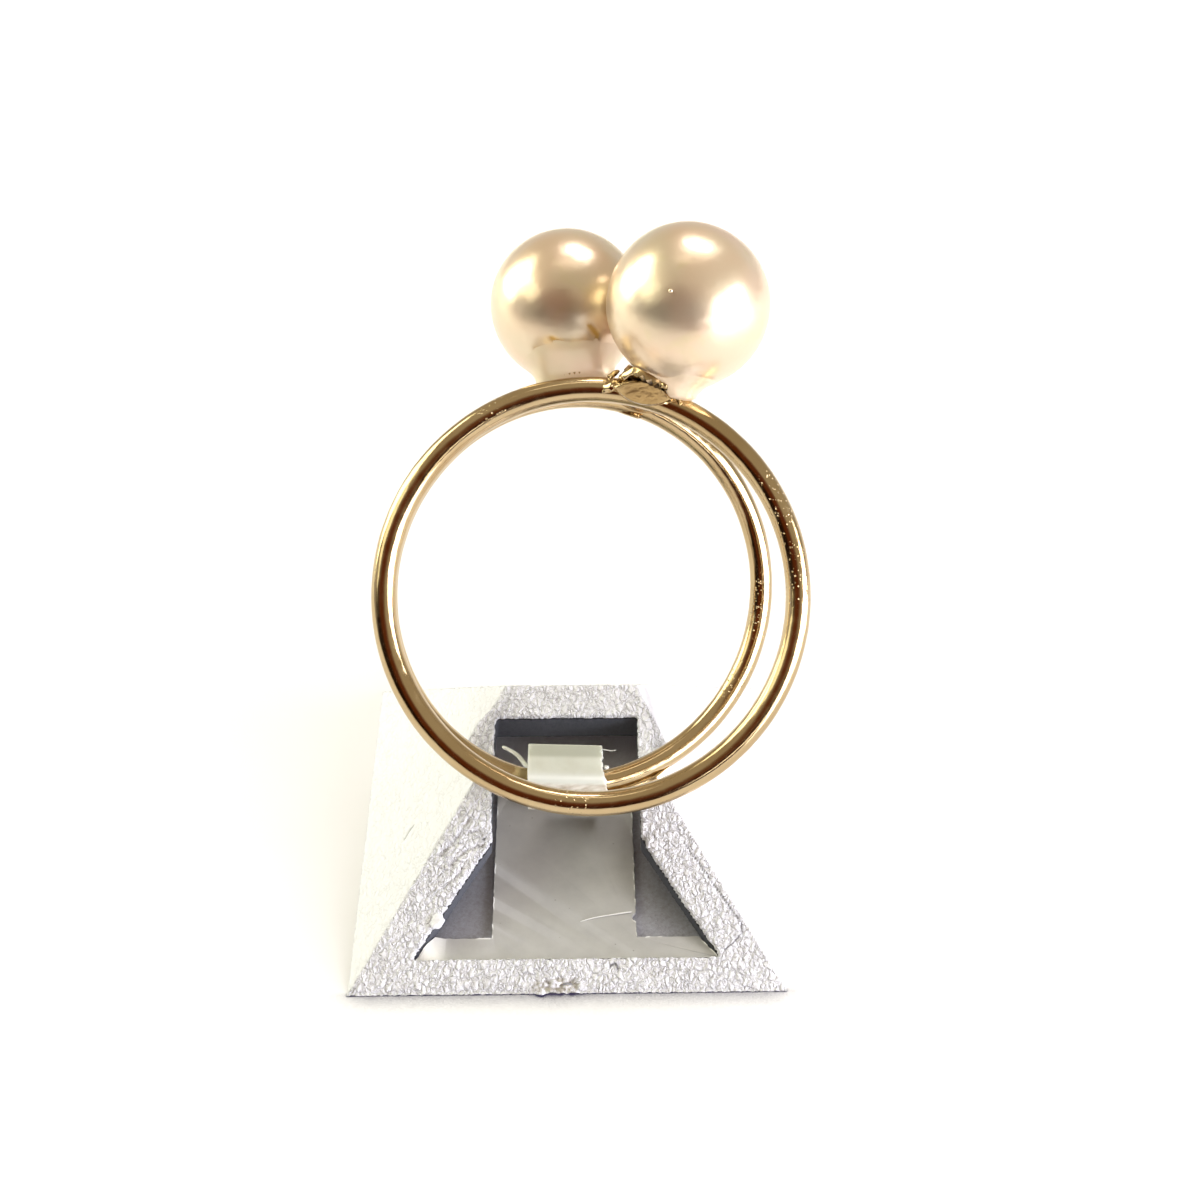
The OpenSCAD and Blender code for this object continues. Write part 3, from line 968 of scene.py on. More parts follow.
# golden wrinkles in the nacre: directions from the rear pearl's middle, in the ring's frame
WRINKLES = (
    ((-0.37, -0.67, 0.64), (-0.28, -0.645, 0.71), (-0.18, -0.68, 0.71)),
    ((-0.18, -0.55, 0.815), (-0.06, -0.6, 0.8), (0.07, -0.67, 0.74), (0.24, -0.715, 0.66),
     (0.38, -0.76, 0.53), (0.5, -0.77, 0.4)),
    ((0.3, -0.4, 0.866), (0.4, -0.5, 0.77), (0.36, -0.62, 0.7)),
    ((0.5, -0.77, 0.4), (0.44, -0.85, 0.28)),
)


def wrinkle(direction):
    """How strongly a wrinkle shows in a direction from the rear pearl's middle, 0 to 1."""
    best = min(to_run(direction, [Vector(point) for point in line]) for line in WRINKLES)
    wobble = 0.018 * noise.noise(direction * 7)
    return 1 - smooth_step(0.005, 0.055, best + wobble)


# a pimple in the front pearl's nacre: its direction from the pearl's middle, in the ring's frame
PIMPLE = Vector((-0.25, 0.0, 0.968))


class RING_OT_pearls(bpy.types.Operator):
    """Grows the two pearls"""

    bl_idname = "pearl_ring.pearls"
    bl_label = "Pearls"

    def execute(self, context):
        settings = context.scene.pearl_ring
        mm = InMillimetres(settings)
        pearl = nacre_material(settings)
        rows = (
            ("front_pearl", FRONT_PEARL_AT, mm.front_pearl_r, Matrix(), mm.front_r,
             "pearl_front", 3.1, lambda direction: 0.0),
            ("rear_pearl", REAR_PEARL_AT, mm.rear_pearl_r, rear_matrix(), mm.rear_r,
             "pearl_rear", 8.4, wrinkle),
        )
        for name, at, radius, band, band_r, node, seed, growth in rows:
            aim = aim_matrix(at, seat_on_band(at, band, band_r))
            facing = aim.to_3x3()
            shape = drilled_pearl(radius, mm.peg_hole_r, mm.peg_hole_depth, seed,
                                  lambda unit: growth(facing @ unit))
            if name == "front_pearl":
                pimple = blob(facing.inverted() @ PIMPLE * (radius + 0.02), (0.1, 0.1, 0.1))
                paint(pimple, "growth", lambda vert: PLAIN)
                shape = joined([shape, pimple])
            bmesh.ops.transform(shape, matrix=ring_matrix(settings) @ aim, verts=shape.verts)
            finish_piece(name, shape, [pearl], "pearl", [node])
        return {"FINISHED"}


# the stand


def wedge(profile, half_w, side_slope):
    """A solid with a side profile of (y, z) points, cut off by sloping left and right sides."""
    spare = 3
    shape = prism([(-half_w - spare, y, z) for y, z in profile], (2 * (half_w + spare), 0, 0))
    for side in (-1, 1):
        normal = (side * math.sin(side_slope), 0, math.cos(side_slope))
        cut = bmesh.ops.bisect_plane(shape, geom=everything(shape), dist=1e-6,
                                     plane_co=(side * half_w, 0, 0), plane_no=normal,
                                     clear_outer=True)
        edges = only(bmesh.types.BMEdge, cut["geom_cut"])
        bmesh.ops.contextual_create(shape, geom=edges)
    bmesh.ops.recalc_face_normals(shape, faces=shape.faces[:])
    return shape


def plate(outline, low, high):
    """A flat plate with an outline of (x, y) points between two heights."""
    return prism([(x, y, low) for x, y in outline], (0, 0, high - low))


class StandForm:
    """The stand's surfaces, worked out from its sizes in millimetres."""

    def __init__(self, mm):
        half_d, half_w = mm.base_d / 2, mm.base_w / 2
        self.half_w = half_w
        self.profile = [(-half_d, 0), (mm.ridge_y, mm.ridge_h), (mm.notch_y, mm.notch_h),
                        (mm.crest_y, mm.crest_h), (half_d, 0)]
        self.front = math.atan2(mm.ridge_h, mm.ridge_y + half_d)
        self.back = math.atan2(mm.crest_h, half_d - mm.crest_y)
        self.side = math.atan2(mm.crest_h, half_w - mm.crest_w / 2)
        self.in_front = -half_d + mm.board_t / math.sin(self.front)
        self.in_back = half_d - mm.board_t / math.sin(self.back)
        self.in_side = half_w - mm.board_t / math.sin(self.side)
        self.roof = mm.notch_h - mm.board_t
        half_slot, half_mouth = mm.slot_w / 2, mm.mouth_w / 2
        self.keyhole = [(-half_slot, mm.slot_back_y), (half_slot, mm.slot_back_y),
                        (half_slot, mm.flare_y), (half_mouth, mm.mouth_y),
                        (-half_mouth, mm.mouth_y), (-half_slot, mm.flare_y)]

    def top(self, x, y):
        """Height of the outside at a point, and whether a side face makes it."""
        for (y0, z0), (y1, z1) in zip(self.profile, self.profile[1:]):
            if y <= y1 or y1 == self.profile[-1][0]:
                over = z0 + (z1 - z0) * (y - y0) / (y1 - y0)
                break
        side = (self.half_w - abs(x)) * math.tan(self.side)
        return min(over, side), side < over

    def hollow(self):
        """The wedge of air inside the stand, drawn a little below the floor to cut clean."""
        down = 1.0
        front, back = math.tan(self.front), math.tan(self.back)
        profile = [(self.in_front - down / front, -down),
                   (self.in_front + self.roof / front, self.roof),
                   (self.in_back - self.roof / back, self.roof),
                   (self.in_back + down / back, -down)]
        return wedge(profile, self.in_side, self.side)


def to_outline(x, y, outline, closed=True):
    """Distance from a point to an outline, in plan."""
    points = outline + outline[:1] if closed else outline
    return to_run(Vector((x, y)), [Vector(point) for point in points])


def inside(x, y, outline):
    """Whether a point lies inside a closed outline, in plan."""
    within = False
    for (x0, y0), (x1, y1) in zip(outline, outline[1:] + outline[:1]):
        if (y0 > y) != (y1 > y) and x < x0 + (x1 - x0) * (y - y0) / (y1 - y0):
            within = not within
    return within


def pebble_height(place, size):
    """Pressed leather grain drawn out to the back, 0 in its valleys and 1 on its pebbles."""
    warp = noise.noise_vector(place * 1.1) * 0.15
    spot = Vector(((place.x + warp.x) / size, (place.y + warp.y) / size * 0.5,
                   (place.z + warp.z) / size * 0.6))
    broad = abs(noise.noise(spot * 0.95))
    close = abs(noise.noise(spot * 1.45 + Vector((7.0, 3.0, 1.0)))) * 1.15
    return smooth_step(0.0, 0.26, min(broad, close))


# marks in the leatherette, in plan and millimetres
RIGHT_PATCH = [(3.6, -3.3), (5.35, -3.1), (5.9, -3.95), (8.32, -7.35), (8.3, -7.75),
               (7.95, -8.15), (7.45, -8.5), (7.35, -8.9)]
FOLDS = (
    [(-5.6, -4.6), (-4.9, -3.9), (-4.1, -3.7)],
    [(-6.2, -4.2), (-5.3, -3.3), (-4.7, -2.4)],
    [(-5.1, -3.2), (-4.3, -3.0), (-3.8, -3.5)],
    [(-5.9, -5.6), (-5.2, -5.0), (-4.9, -4.4)],
)
CURL = [(2.05, -9.18), (2.14, -9.08), (2.28, -9.06), (2.4, -9.14), (2.42, -9.27)]
FACE_SCRATCH = [(-8.1, -2.1), (-7.9, -1.75), (-7.65, -1.45)]
TEAR = (-0.46, -10.05)
SPOT = (-4.02, -3.42)
# a drop of white glue on the left arm: place, radii, turns, seed and how lumpy it is; and a nick in
# the corner of the right arm
DROP = ((-6.2, -7.12, 1.42), (0.32, 0.42, 0.22), (10, -20, -30), 4, 0.5)
NICK = (3.75, -3.55)
# soft shades along the creases beside the notch: a line in plan, how wide and how dark
SHADES = (
    ([(4.16, 5.5), (4.43, 4.14), (4.82, 2.1)], 0.42, 0.3),
    ([(4.7, 2.3), (4.78, 1.7)], 0.65, 0.36),
    ([(-3.2, 5.5), (-3.75, 3.9), (-4.1, 2.0)], 0.5, 0.16),
)


# how deep below the outside the cover ends, the wall's dark top line ends and the flat inside
# starts, and how near to the opening its wall lies
COVER_END, LINE_END, INSIDE_FROM = 0.17, 0.3, 0.75
WALL_REACH = 0.12
# how finely the cover is meshed, in millimetres; finer than this takes over 200,000 triangles
COVER_VOXEL = 0.084


class STAND_OT_shell(bpy.types.Operator):
    """Wraps the stand in pebbled leatherette"""

    bl_idname = "pearl_ring.shell"
    bl_label = "Leatherette Stand"

    def execute(self, context):
        settings = context.scene.ring_stand
        mm = InMillimetres(settings)
        form = StandForm(mm)
        shape = wedge(form.profile, form.half_w, form.side)
        shape = cut_by(shape, form.hollow())
        shape = cut_by(shape, plate(form.keyhole, -1, mm.crest_h + 1))
        shape = with_modifiers(shape, ("REMESH", {"mode": "VOXEL", "voxel_size": COVER_VOXEL}),
                               ("SMOOTH", {"factor": 0.5, "iterations": 1}))
        self.flatten_inside(shape, form)
        shape.normal_update()
        for face in shape.faces:
            centre = face.calc_center_median()
            height, _ = form.top(centre.x, centre.y)
            deep = height - centre.z
            if deep > COVER_END:
                # painted shade: walls near the opening take the darker cut board, their top under
                # the cover a darker line
                wall = to_outline(centre.x, centre.y, form.keyhole) < WALL_REACH
                face.material_index = 1 + wall + (wall and deep < LINE_END)
        grain = shape.verts.layers.float_color.new("grain")
        moves = []
        for vert in shape.verts:
            height, on_side = form.top(vert.co.x, vert.co.y)
            outside = 1 - smooth_step(0.15, 0.4, (height - vert.co.z) * math.cos(form.side))
            if outside > 0:
                rise, tint = self.skin(vert.co, on_side, mm, form)
                moves.append((vert, rise * outside))
                vert[grain] = (*tint, 1)
        for vert, move in moves:
            vert.co += vert.normal * move
            vert.co.z = max(0.0, vert.co.z)
            # the rear crest's left corner is drawn in
            crest = smooth_step(4.0, 4.9, vert.co.z) * smooth_step(3.0, 4.2, vert.co.y)
            vert.co.x += 0.5 * crest * smooth_step(-2.4, -3.6, vert.co.x)
        drop = blob(*DROP)
        paint(drop, "grain", lambda vert: (0.1, 0.0, 0.0))
        finish_piece("stand_cover", joined([shape, drop]),
                     [leatherette_material(settings), board_material(settings),
                      wall_material(), edge_material()],
                     "leatherette", ["stand_shell"])
        return {"FINISHED"}

    def flatten_inside(self, shape, form):
        """Joins the many small faces of the flat inside, which carries no grain."""
        deep = {v for v in shape.verts
                if form.top(v.co.x, v.co.y)[0] - v.co.z > INSIDE_FROM}
        edges = [e for e in shape.edges if e.verts[0] in deep and e.verts[1] in deep]
        bmesh.ops.dissolve_limit(shape, angle_limit=math.radians(4), verts=list(deep),
                                 edges=edges)

    def skin(self, co, on_side, mm, form):
        """How far the cover rises at a point, and its grain, torn and dark tints from 0 to 1."""
        x, y = co.x, co.y
        much = 1.0
        # the grain and its painted valley shade are fainter on the sides, which the light strikes
        # head on
        if on_side:
            much = 0.3 if x < 0 else 0.12
        rise = (pebble_height(co, mm.pebble) - 0.7) * 0.06 * much
        torn_or_lit, dark = 0.0, 0.0
        if not on_side and y < form.profile[1][0]:
            edge = to_outline(x, y, RIGHT_PATCH[:-1], closed=False)
            if inside(x, y, RIGHT_PATCH):
                rise += 0.05 * smooth_step(0.0, 0.12, edge)
            elif x > 4.0 and x - y > 9.4:
                dark = 0.9 * (1 - smooth_step(0.03, 0.09, edge))
                rise -= 0.02 * (1 - smooth_step(0.0, 0.15, edge))
            for fold in FOLDS:
                near = to_outline(x, y, fold, closed=False)
                rise += 0.03 * smooth_step(0.05, 0.2, near) * (1 - smooth_step(0.2, 0.5, near))
                rise -= 0.05 * (1 - smooth_step(0.0, 0.13, near))
                dark = max(dark, 0.2 * (1 - smooth_step(0.02, 0.09, near)))
            near = to_outline(x, y, CURL, closed=False)
            dark = max(dark, 0.8 * (1 - smooth_step(0.03, 0.08, near)))
            rise -= 0.06 * (1 - smooth_step(0.0, 0.09, near))
            near = math.hypot(x - SPOT[0], y - SPOT[1])
            dark = max(dark, 1 - smooth_step(0.05, 0.11, near))
            rise -= 0.08 * (1 - smooth_step(0.0, 0.15, near))
            near = math.hypot(x - NICK[0], y - NICK[1])
            torn_or_lit = 0.5 * (1 - smooth_step(0.1, 0.3, near))
            rise -= 0.16 * (1 - smooth_step(0.0, 0.3, near))
        near = math.hypot((x - TEAR[0]) / 1.5, (y - TEAR[1]) / 0.55)
        if near < 1.3:
            share = 1 - smooth_step(0.35, 1.1, near)
            lumps = noise.noise(Vector((x * 2.2, y * 4.0, 3.0)))
            lumps += 0.6 * noise.noise(Vector((x * 5.5, y * 8.0, 6.0)))
            rise += share * (0.36 * lumps - 0.02)
            torn_or_lit = share * smooth_step(0.1, -0.16, lumps)
            dark = max(dark, 0.35 * share * smooth_step(-0.3, -0.45, lumps))
            much *= 1 - 0.7 * share
        if on_side and x < 0:
            near = to_outline(x, y, FACE_SCRATCH, closed=False)
            dark = max(dark, 0.6 * (1 - smooth_step(0.02, 0.06, near)))
            rise -= 0.04 * (1 - smooth_step(0.0, 0.08, near))
        for line, reach, share in SHADES:
            near = to_outline(x, y, line, closed=False)
            dark = max(dark, share * (1 - smooth_step(0.0, reach, near)))
        return rise, (much, torn_or_lit, dark)


def ragged(outline, step, amount, seed):
    """Cuts a closed outline into short steps and lets each wander a little, as a knife cut does."""
    points = []
    for (x0, y0), (x1, y1) in zip(outline, outline[1:] + outline[:1]):
        run = Vector((x1 - x0, y1 - y0))
        count = max(1, round(run.length / step))
        across = Vector((run.y, -run.x)).normalized()
        for i in range(count):
            spot = Vector((x0, y0)) + run * (i / count)
            stray = noise.noise(Vector((spot.x * 2.2, spot.y * 2.2, seed)))
            stray += 0.7 * noise.noise(Vector((spot.x * 7, spot.y * 7, seed + 4)))
            spot += across * (stray * amount if i else 0)
            points.append((spot.x, spot.y))
    return points


def strand(points, radii, sides=8):
    """A thin shaving or hair through points, with a radius at each."""
    shape = bmesh.new()
    points = [Vector(point) for point in points]
    rings = []
    for i, (point, radius) in enumerate(zip(points, radii)):
        along = points[min(i + 1, len(points) - 1)] - points[max(i - 1, 0)]
        place = Matrix.Translation(point) @ along.to_track_quat("Z", "Y").to_matrix().to_4x4()
        made = bmesh.ops.create_circle(shape, segments=sides, radius=radius, matrix=place)
        rings.append({e for v in made["verts"] for e in v.link_edges})
    for first, second in zip(rings, rings[1:]):
        bmesh.ops.bridge_loops(shape, edges=list(first | second))
    bmesh.ops.holes_fill(shape, edges=shape.edges[:], sides=0)
    bmesh.ops.recalc_face_normals(shape, faces=shape.faces[:])
    return with_modifiers(shape, ("SUBSURF", {"levels": 2, "render_levels": 2}))


# the bottom board's lower and upper faces, the air above it and the air round it
BOARD_LOW, BOARD_HIGH = 0.02, 0.22
SHEET_GAP, BOARD_GAP = 0.04, 0.06
# the sheet's left end rises from here, by so much a millimetre
BEND_X, BEND_RISE = -5.8, 0.3
# a sliver of the sheet's plastic: x, y and height above it, with its radii
SLIVER = (((0.6, -6.46, 0.02), (1.3, -6.22, 0.05), (2.0, -6.1, 0.04), (2.7, -5.98, 0.08),
           (3.2, -5.9, 0.05)), (0.02, 0.035, 0.03, 0.05, 0.03))
# a torn notch in the right edge of the sheet's tongue
TORN_NOTCH = [(3.345, -6.5), (3.2, -6.38), (3.14, -6.15), (3.24, -6.0), (3.345, -5.85)]


class STAND_OT_bottom(bpy.types.Operator):
    """Closes the stand with its board and lays the white sheet on it"""

    bl_idname = "pearl_ring.bottom"
    bl_label = "Bottom and Sheet"

    def execute(self, context):
        settings = context.scene.ring_stand
        mm = InMillimetres(settings)
        form = StandForm(mm)
        self.card(settings, mm, form)
        self.sheet(settings, mm)
        return {"FINISHED"}

    def card(self, settings, mm, form):
        """The bottom board, with painted light: pale at its back, where light comes in under the
        slot.
        """
        side = form.in_side - BOARD_HIGH / math.tan(form.side) - BOARD_GAP
        front = form.in_front + BOARD_HIGH / math.tan(form.front) + BOARD_GAP
        back = form.in_back - BOARD_HIGH / math.tan(form.back) - BOARD_GAP
        mouth = self.mouth(mm, 0.1, front)
        board = [mouth[0], mouth[1], mouth[2], (side, front), (side, back), (-side, back),
                 (-side, front), mouth[3]]
        shape = plate(ragged(board, 0.5, 0.03, 2.0), BOARD_LOW, BOARD_HIGH)
        for line in (3.2, 4.0):
            bmesh.ops.bisect_plane(shape, geom=everything(shape), dist=1e-6,
                                   plane_co=(0, line, 0), plane_no=(0, 1, 0))
        # painted light: the board's back is painted pale, standing in for light that comes in under
        # the slot
        paint(shape, "painted_light", lambda vert: (smooth_step(3.3, 3.9, vert.co.y),) * 3)
        finish_piece("bottom_card", shape, [board_material(settings)], "dark_board",
                     ["bottom_board"], sharp=40)

    def sheet(self, settings, mm):
        """The white sheet with its torn edges, its bent left end and a loose sliver."""
        mouth = self.mouth(mm, 0.08, mm.bar_back_y)
        left = mm.tongue_x - mm.tongue_w / 2
        right = mm.tongue_x + mm.tongue_w / 2
        sheet = [mouth[0], mouth[1], mouth[2], (right, mm.bar_back_y), *TORN_NOTCH,
                 (right, mm.tongue_back_y), (left, mm.tongue_back_y), (left, mm.bar_back_y),
                 mouth[3]]
        sheet = ragged(sheet, 0.1, 0.035, 9.0)
        under = BOARD_HIGH + SHEET_GAP
        face = under + mm.sheet_t
        shape = plate(sheet, under, face)
        for step in range(12):
            bmesh.ops.bisect_plane(shape, geom=everything(shape), dist=1e-6,
                                   plane_co=(-7.0 + 0.2 * step, 0, 0), plane_no=(1, 0, 0))
        tops = [f for f in shape.faces if f.normal.z > 0.9]
        bmesh.ops.inset_region(shape, faces=tops, thickness=0.07)
        # painted light on the bent end, and pale patches on the torn edge, partly painted highlight
        paint(shape, "torn_or_lit", lambda vert: self.torn_or_lit(vert, sheet, face))
        for vert in shape.verts:
            rim = self.torn_or_lit(vert, sheet, face)[0] * smooth_step(-5.9, -5.5, vert.co.x)
            vert.co.z += 0.05 * rim
            bent = max(0.0, BEND_X - vert.co.x) * smooth_step(-8.5, -7.9, vert.co.y)
            vert.co.z += BEND_RISE * bent
        points, radii = SLIVER
        sliver = strand([(x, y, face + up) for x, y, up in points], radii)
        paint(sliver, "torn_or_lit", lambda vert: (0.8, 0.8, 0.8))
        finish_piece("white_sheet", joined([shape, sliver]), [sheet_material(settings)],
                     "white_sheet", ["base_sheet"], sharp=40)

    def torn_or_lit(self, vert, sheet, face):
        """Pale in patches where the upper edge is torn, both torn whitening and painted highlight,
        and with painted light at its bent end.
        """
        x, y, z = vert.co
        bent = smooth_step(-5.5, -6.4, x)
        if z < face - 0.01 or to_outline(x, y, sheet) > 0.02:
            return bent, bent, bent
        patch = noise.noise(Vector((x * 0.9, y * 0.9, 5.0)))
        patch += 0.5 * noise.noise(Vector((x * 4, y * 4, 2.0)))
        share = max(bent, smooth_step(-0.05, 0.25, patch))
        return share, share, share

    def mouth(self, mm, edge, back_y):
        """The front part of the opening, just inside its edges."""
        spread = (mm.mouth_w - mm.slot_w) / 2 / (mm.flare_y - mm.mouth_y)
        front_half = mm.mouth_w / 2 - edge - edge * spread
        back_half = front_half - spread * (back_y - mm.mouth_y - edge)
        return [(-front_half, mm.mouth_y + edge), (front_half, mm.mouth_y + edge),
                (back_half, back_y), (-back_half, back_y)]


def strap_section(points, radius, steps=5):
    """Rounds the corners of a closed run of points."""
    rounded = []
    count = len(points)
    for i in range(count):
        before, here, after = (Vector(points[(i + k) % count]) for k in (-1, 0, 1))
        into, out = (before - here), (after - here)
        reach = min(radius, into.length * 0.45, out.length * 0.45)
        start, end = here + into.normalized() * reach, here + out.normalized() * reach
        for step in range(steps + 1):
            share = step / steps
            rounded.append(start.lerp(here, share).lerp(here.lerp(end, share), share))
    return rounded


# the strap's section round the wire, to the back and up, and the place and turn of the wire in it
CLIP_LOOP = [(1.35, 1.15), (0.3, 1.35), (-0.78, 1.35), (-1.2, 0.55),
             (-1.2, -0.4), (-0.5, -0.98), (1.1, -1.02), (1.35, -0.8)]
CLIP_AT = Vector((0.03, -1.9, 5.38))
CLIP_TURN = Euler((0, math.radians(13.1), math.radians(10.7)))
# shavings on the strap's ends: points and radii
BURR = (((-1.8, -1.2, 5.75), (-1.98, -0.96, 5.7), (-2.2, -0.66, 5.86), (-2.45, -0.42, 5.96),
         (-2.72, -0.24, 6.0), (-2.98, -0.05, 6.0), (-3.13, 0.04, 5.98)),
        (0.11, 0.13, 0.11, 0.12, 0.09, 0.1, 0.07))
HAIR = (((1.8, -0.82, 6.6), (2.0, -0.84, 6.58), (2.2, -0.86, 6.53), (2.36, -0.83, 6.52),
         (2.48, -0.8, 6.54)), (0.03, 0.025, 0.022, 0.022, 0.015))
NUB = (((1.86, -1.15, 5.75), (2.0, -1.2, 5.7), (2.1, -1.1, 5.66)), (0.1, 0.12, 0.08))


class STAND_OT_clip(bpy.types.Operator):
    """Loops the plastic strap round the rear band"""

    bl_idname = "pearl_ring.clip"
    bl_label = "Plastic Clip"

    def execute(self, context):
        settings = context.scene.ring_stand
        mm = InMillimetres(settings)
        tail = plate([(-1.7, -0.78), (1.65, -0.78), (1.65, -0.34), (-1.7, -0.34)], 1.3, 4.8)
        for vert in tail.verts:
            vert.co.y += smooth_step(0, 1, (4.8 - vert.co.z) / 4.28) * (1.23 if vert.co.y < -0.5
                                                                       else 1.29)
            if vert.co.x < 0 and vert.co.z < 2:
                vert.co.x += 0.8
        parts = [tail, strand(*BURR), strand(*HAIR), strand(*NUB)]
        for part in parts:
            paint(part, "facet_light_and_tone", lambda vert: PLAIN)
        parts.append(self.loop(mm))
        finish_piece("clip_strap", joined(parts), [clip_material(settings)],
                     "clip_plastic", ["ring_clip"], sharp=40)
        return {"FINISHED"}

    def facet_light_and_tone(self, vert):
        """Painted shade on the strap's top, a painted highlight along its fold, cloudy tone below.
        """
        y, z = vert.co.y, vert.co.z
        front = smooth_step(-0.6, -0.8, y)
        top = smooth_step(1.15, 1.3, z) * smooth_step(0.1, 0.5, y)
        fold = 1 - smooth_step(0.06, 0.2, math.hypot(y + 0.85, z - 1.25))
        return top, 0.9 * fold, front * smooth_step(1.12, 0.98, z)

    def loop(self, mm):
        """The strap round the wire, its ends cut square to the stand and left rough."""
        shape = bmesh.new()
        rounded = strap_section(CLIP_LOOP, 0.14)
        section = []
        for start, end in zip(rounded, rounded[1:] + rounded[:1]):
            count = math.ceil((end - start).length / 0.1)
            section += [start.lerp(end, step / count) for step in range(count)]
        verts = [shape.verts.new((0, y, z)) for y, z in section]
        edges = [shape.edges.new((a, b)) for a, b in zip(verts, verts[1:] + verts[:1])]
        wide, across = mm.strap_w + 2, 44
        for step in range(across):
            grown = bmesh.ops.extrude_edge_only(shape, edges=edges)
            edges = only(bmesh.types.BMEdge, grown["geom"])
            edges = [e for e in edges if e.is_boundary]
            bmesh.ops.translate(shape, vec=(wide / across, 0, 0), verts=verts_of(grown["geom"]))
        bmesh.ops.translate(shape, vec=(-wide / 2, 0, 0), verts=shape.verts)
        bmesh.ops.recalc_face_normals(shape, faces=shape.faces[:])
        shape = with_modifiers(shape, ("SOLIDIFY", {"thickness": mm.strap_t, "offset": 0.0,
                                                    "use_even_offset": True}))
        paint(shape, "facet_light_and_tone", self.facet_light_and_tone)
        place = Matrix.Translation(CLIP_AT) @ CLIP_TURN.to_matrix().to_4x4()
        bmesh.ops.transform(shape, matrix=place, verts=shape.verts)
        left, right = CLIP_AT.x - mm.strap_w / 2 + 0.06, CLIP_AT.x + mm.strap_w / 2 - 0.12
        for end, side in ((left, -1), (right, 1)):
            cut = bmesh.ops.bisect_plane(shape, geom=everything(shape), dist=1e-6,
                                         plane_co=(end, 0, 0), plane_no=(side, 0, 0),
                                         clear_outer=True)
            bmesh.ops.bridge_loops(shape, edges=only(bmesh.types.BMEdge, cut["geom_cut"]))
        for vert in shape.verts:
            x, y, z = vert.co
            rag = noise.noise(Vector((y * 3.2, z * 3.2, 1.0)))
            rag += 0.6 * noise.noise(Vector((y * 9, z * 9, 4.0)))
            vert.co.x += 0.1 * rag * smooth_step(right - 0.3, right, x)
            low = smooth_step(-2.0, -2.9, y) * smooth_step(right - 0.5, right, x)
            vert.co.x += (0.2 - 0.35 * smooth_step(5.6, 5.1, z)) * low
        bmesh.ops.recalc_face_normals(shape, faces=shape.faces[:])
        return with_modifiers(shape, ("BEVEL", {"width": 0.04, "segments": 2,
                                                "limit_method": "ANGLE", "angle_limit": 0.9}))


# the stage


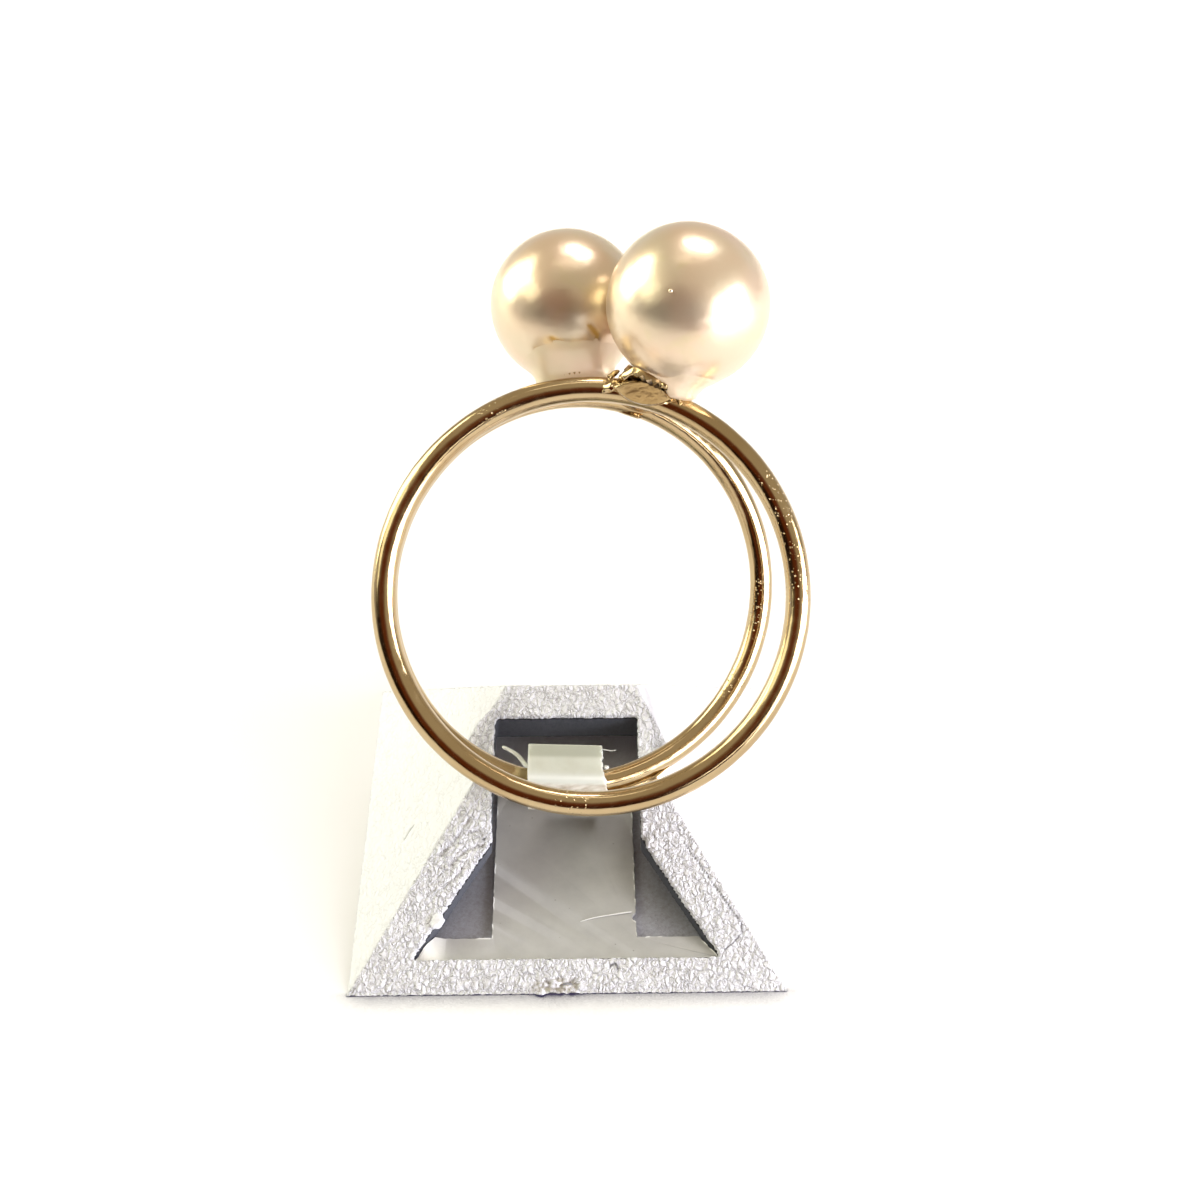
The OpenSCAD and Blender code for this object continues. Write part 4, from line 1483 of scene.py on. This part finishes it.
class STAGE_OT_studio(bpy.types.Operator):
    """Sets the floor, the light and the camera"""

    bl_idname = "pearl_ring.studio"
    bl_label = "Studio"

    def execute(self, context):
        scene = context.scene
        settings = scene.ring_stage
        self.floor(settings)
        self.light(scene, settings)
        self.camera(scene, settings)
        scene.view_settings.view_transform = "Standard"
        return {"FINISHED"}

    def floor(self, settings):
        shape = bmesh.new()
        bmesh.ops.create_grid(shape, x_segments=1, y_segments=1, size=1.5)
        mesh = bpy.data.meshes.new("floor")
        shape.to_mesh(mesh)
        shape.free()
        # paper, with a painted contact shadow where the stand's front edge stands on it and keeps
        # the light out
        material, tree, place = new_material("Matte white paper")
        hidden = add_node(tree, "ShaderNodeAmbientOcclusion", {"Distance": 1.5 * MM}, samples=16)
        contact = remap(tree, hidden.outputs["AO"], 0.93, 0.995, 1.0, 0.0)
        ahead = add_node(tree, "ShaderNodeSeparateXYZ", {"Vector": place}).outputs["Y"]
        contact = math_node(tree, "MULTIPLY", contact,
                            remap(tree, ahead, -10.3, -10.1, 1.0, 0.0))
        tone = blend(tree, contact, (*settings.floor, 1.0), linear_colour("#3d3958"))
        mesh.materials.append(finish_material(
            material, {"Base Color": tone, "Roughness": 0.9, "Specular IOR Level": 0.1}))
        floor = bpy.data.objects.new("floor", mesh)
        floor.location.z = -0.00001
        bpy.context.collection.objects.link(floor)

    def light(self, scene, settings):
        world = bpy.data.worlds.new("Dim studio")
        scene.world = world
        world.use_nodes = True
        tree = world.node_tree
        tree.nodes.clear()
        way = add_node(tree, "ShaderNodeTexCoord").outputs["Generated"]
        up = add_node(tree, "ShaderNodeSeparateXYZ", {"Vector": way}).outputs["Z"]
        high = add_node(tree, "ShaderNodeMapRange",
                        {"Value": up, "From Min": 0.02, "From Max": 0.4},
                        interpolation_type="SMOOTHSTEP").outputs["Result"]
        light = blend(tree, high, (*settings.horizon, 1.0), (*settings.room, 1.0))
        for towards, inner, outer, hex_code in DARK_SIDES:
            near = add_node(tree, "ShaderNodeVectorMath",
                            {0: way, 1: Vector(towards).normalized()},
                            operation="DOT_PRODUCT").outputs["Value"]
            share = add_node(tree, "ShaderNodeMapRange",
                             {"Value": near, "From Min": math.cos(math.radians(outer)),
                              "From Max": math.cos(math.radians(inner))},
                             interpolation_type="SMOOTHSTEP").outputs["Result"]
            light = blend(tree, share, light, linear_colour(hex_code))
        background = add_node(tree, "ShaderNodeBackground", {"Color": light, "Strength": 1.0})
        add_node(tree, "ShaderNodeOutputWorld", {"Surface": background.outputs[0]})
        for name, towards, across, tall, hex_code, radiance in SOFTBOXES:
            lamp = bpy.data.lights.new(name, "AREA")
            lamp.shape = "RECTANGLE"
            lamp.size = 2 * LIGHT_DISTANCE * math.tan(math.radians(across / 2))
            lamp.size_y = 2 * LIGHT_DISTANCE * math.tan(math.radians(tall / 2))
            lamp.color = linear_colour(hex_code, alpha=False)
            lamp.energy = radiance * math.pi * lamp.size * lamp.size_y
            box = bpy.data.objects.new(name, lamp)
            towards = Vector(towards).normalized()
            box.location = RING_AT * MM + towards * LIGHT_DISTANCE
            box.rotation_euler = towards.to_track_quat("Z", "Y").to_euler()
            box.visible_camera = False
            # this narrow strip only draws a line on gold and pearls, and lights nothing else
            box.visible_diffuse = name != "key_tail"
            bpy.context.collection.objects.link(box)

    def camera(self, scene, settings):
        camera = bpy.data.objects.new("camera", bpy.data.cameras.new("camera"))
        bpy.context.collection.objects.link(camera)
        camera.data.lens = settings.lens
        camera.data.sensor_width = 36.0
        camera.data.clip_start = 1 * MM
        camera.data.clip_end = 10.0
        camera.location = CAMERA_AT * MM
        camera.rotation_euler = (math.pi / 2 - settings.pitch, 0, -settings.yaw)
        scene.camera = camera


# the camera's place in the part's frame, in millimetres
CAMERA_AT = Vector((0.859, -60.584, 67.277))
# the dark side of the room, round the camera: direction, inner and outer radius in degrees, colour
DARK_SIDES = (
    ((-0.28, -0.87, 0.4), 16, 42, "#6c381b"),
    ((-0.75, -0.66, 0.1), 14, 34, "#2a1910"),
    ((0.25, -0.95, 0.15), 8, 30, "#44281a"),
)
# the softboxes' distance from the ring in metres, then for each its name, direction from the ring,
# width and height in degrees, colour and radiance
LIGHT_DISTANCE = 0.25
SOFTBOXES = (
    ("key_right", (0.853, -0.44, 0.22), 50, 33, "#fafbff", 8.8),
    ("key_tail", (0.5, -0.83, 0.2), 34, 4, "#ffffff", 4.0),
    ("left_back", (-0.84, 0.36, 0.40), 34, 42, "#f3fae2", 5.2),
    ("left_front", (-0.79, -0.2, 0.55), 24, 24, "#fbffe4", 1.6),
    ("top_back", (0.19, 0.53, 0.83), 24, 15, "#ffffff", 8.0),
    ("overhead", (0.0, 0.2, 0.98), 30, 4, "#fff8ea", 2.2),
)


class VIEW3D_PT_pearl_ring(bpy.types.Panel):
    """Sizes, colours and pieces of the ring on its stand"""

    bl_label = "Pearl Ring"
    bl_space_type = "VIEW_3D"
    bl_region_type = "UI"
    bl_category = "Pearl Ring"

    def draw(self, context):
        layout = self.layout
        for group in (context.scene.pearl_ring, context.scene.ring_stand,
                      context.scene.ring_stage):
            box = layout.box()
            for name in group.__annotations__:
                box.prop(group, name)
        for operator in OPERATORS:
            layout.operator(operator.bl_idname)


OPERATORS = (RING_OT_bands, RING_OT_joint, RING_OT_cups, RING_OT_strip, RING_OT_pearls,
             RING_OT_glue, STAND_OT_shell, STAND_OT_bottom, STAND_OT_clip, STAGE_OT_studio)
CLASSES = (RingSettings, StandSettings, StageSettings, *OPERATORS, VIEW3D_PT_pearl_ring)


def register():
    for cls in CLASSES:
        bpy.utils.register_class(cls)
    bpy.types.Scene.pearl_ring = PointerProperty(type=RingSettings)
    bpy.types.Scene.ring_stand = PointerProperty(type=StandSettings)
    bpy.types.Scene.ring_stage = PointerProperty(type=StageSettings)


def unregister():
    del bpy.types.Scene.ring_stage
    del bpy.types.Scene.ring_stand
    del bpy.types.Scene.pearl_ring
    for cls in reversed(CLASSES):
        bpy.utils.unregister_class(cls)


def main():
    register()
    for operator in OPERATORS:
        group, name = operator.bl_idname.split(".")
        getattr(getattr(bpy.ops, group), name)()


if __name__ == "__main__":
    main()
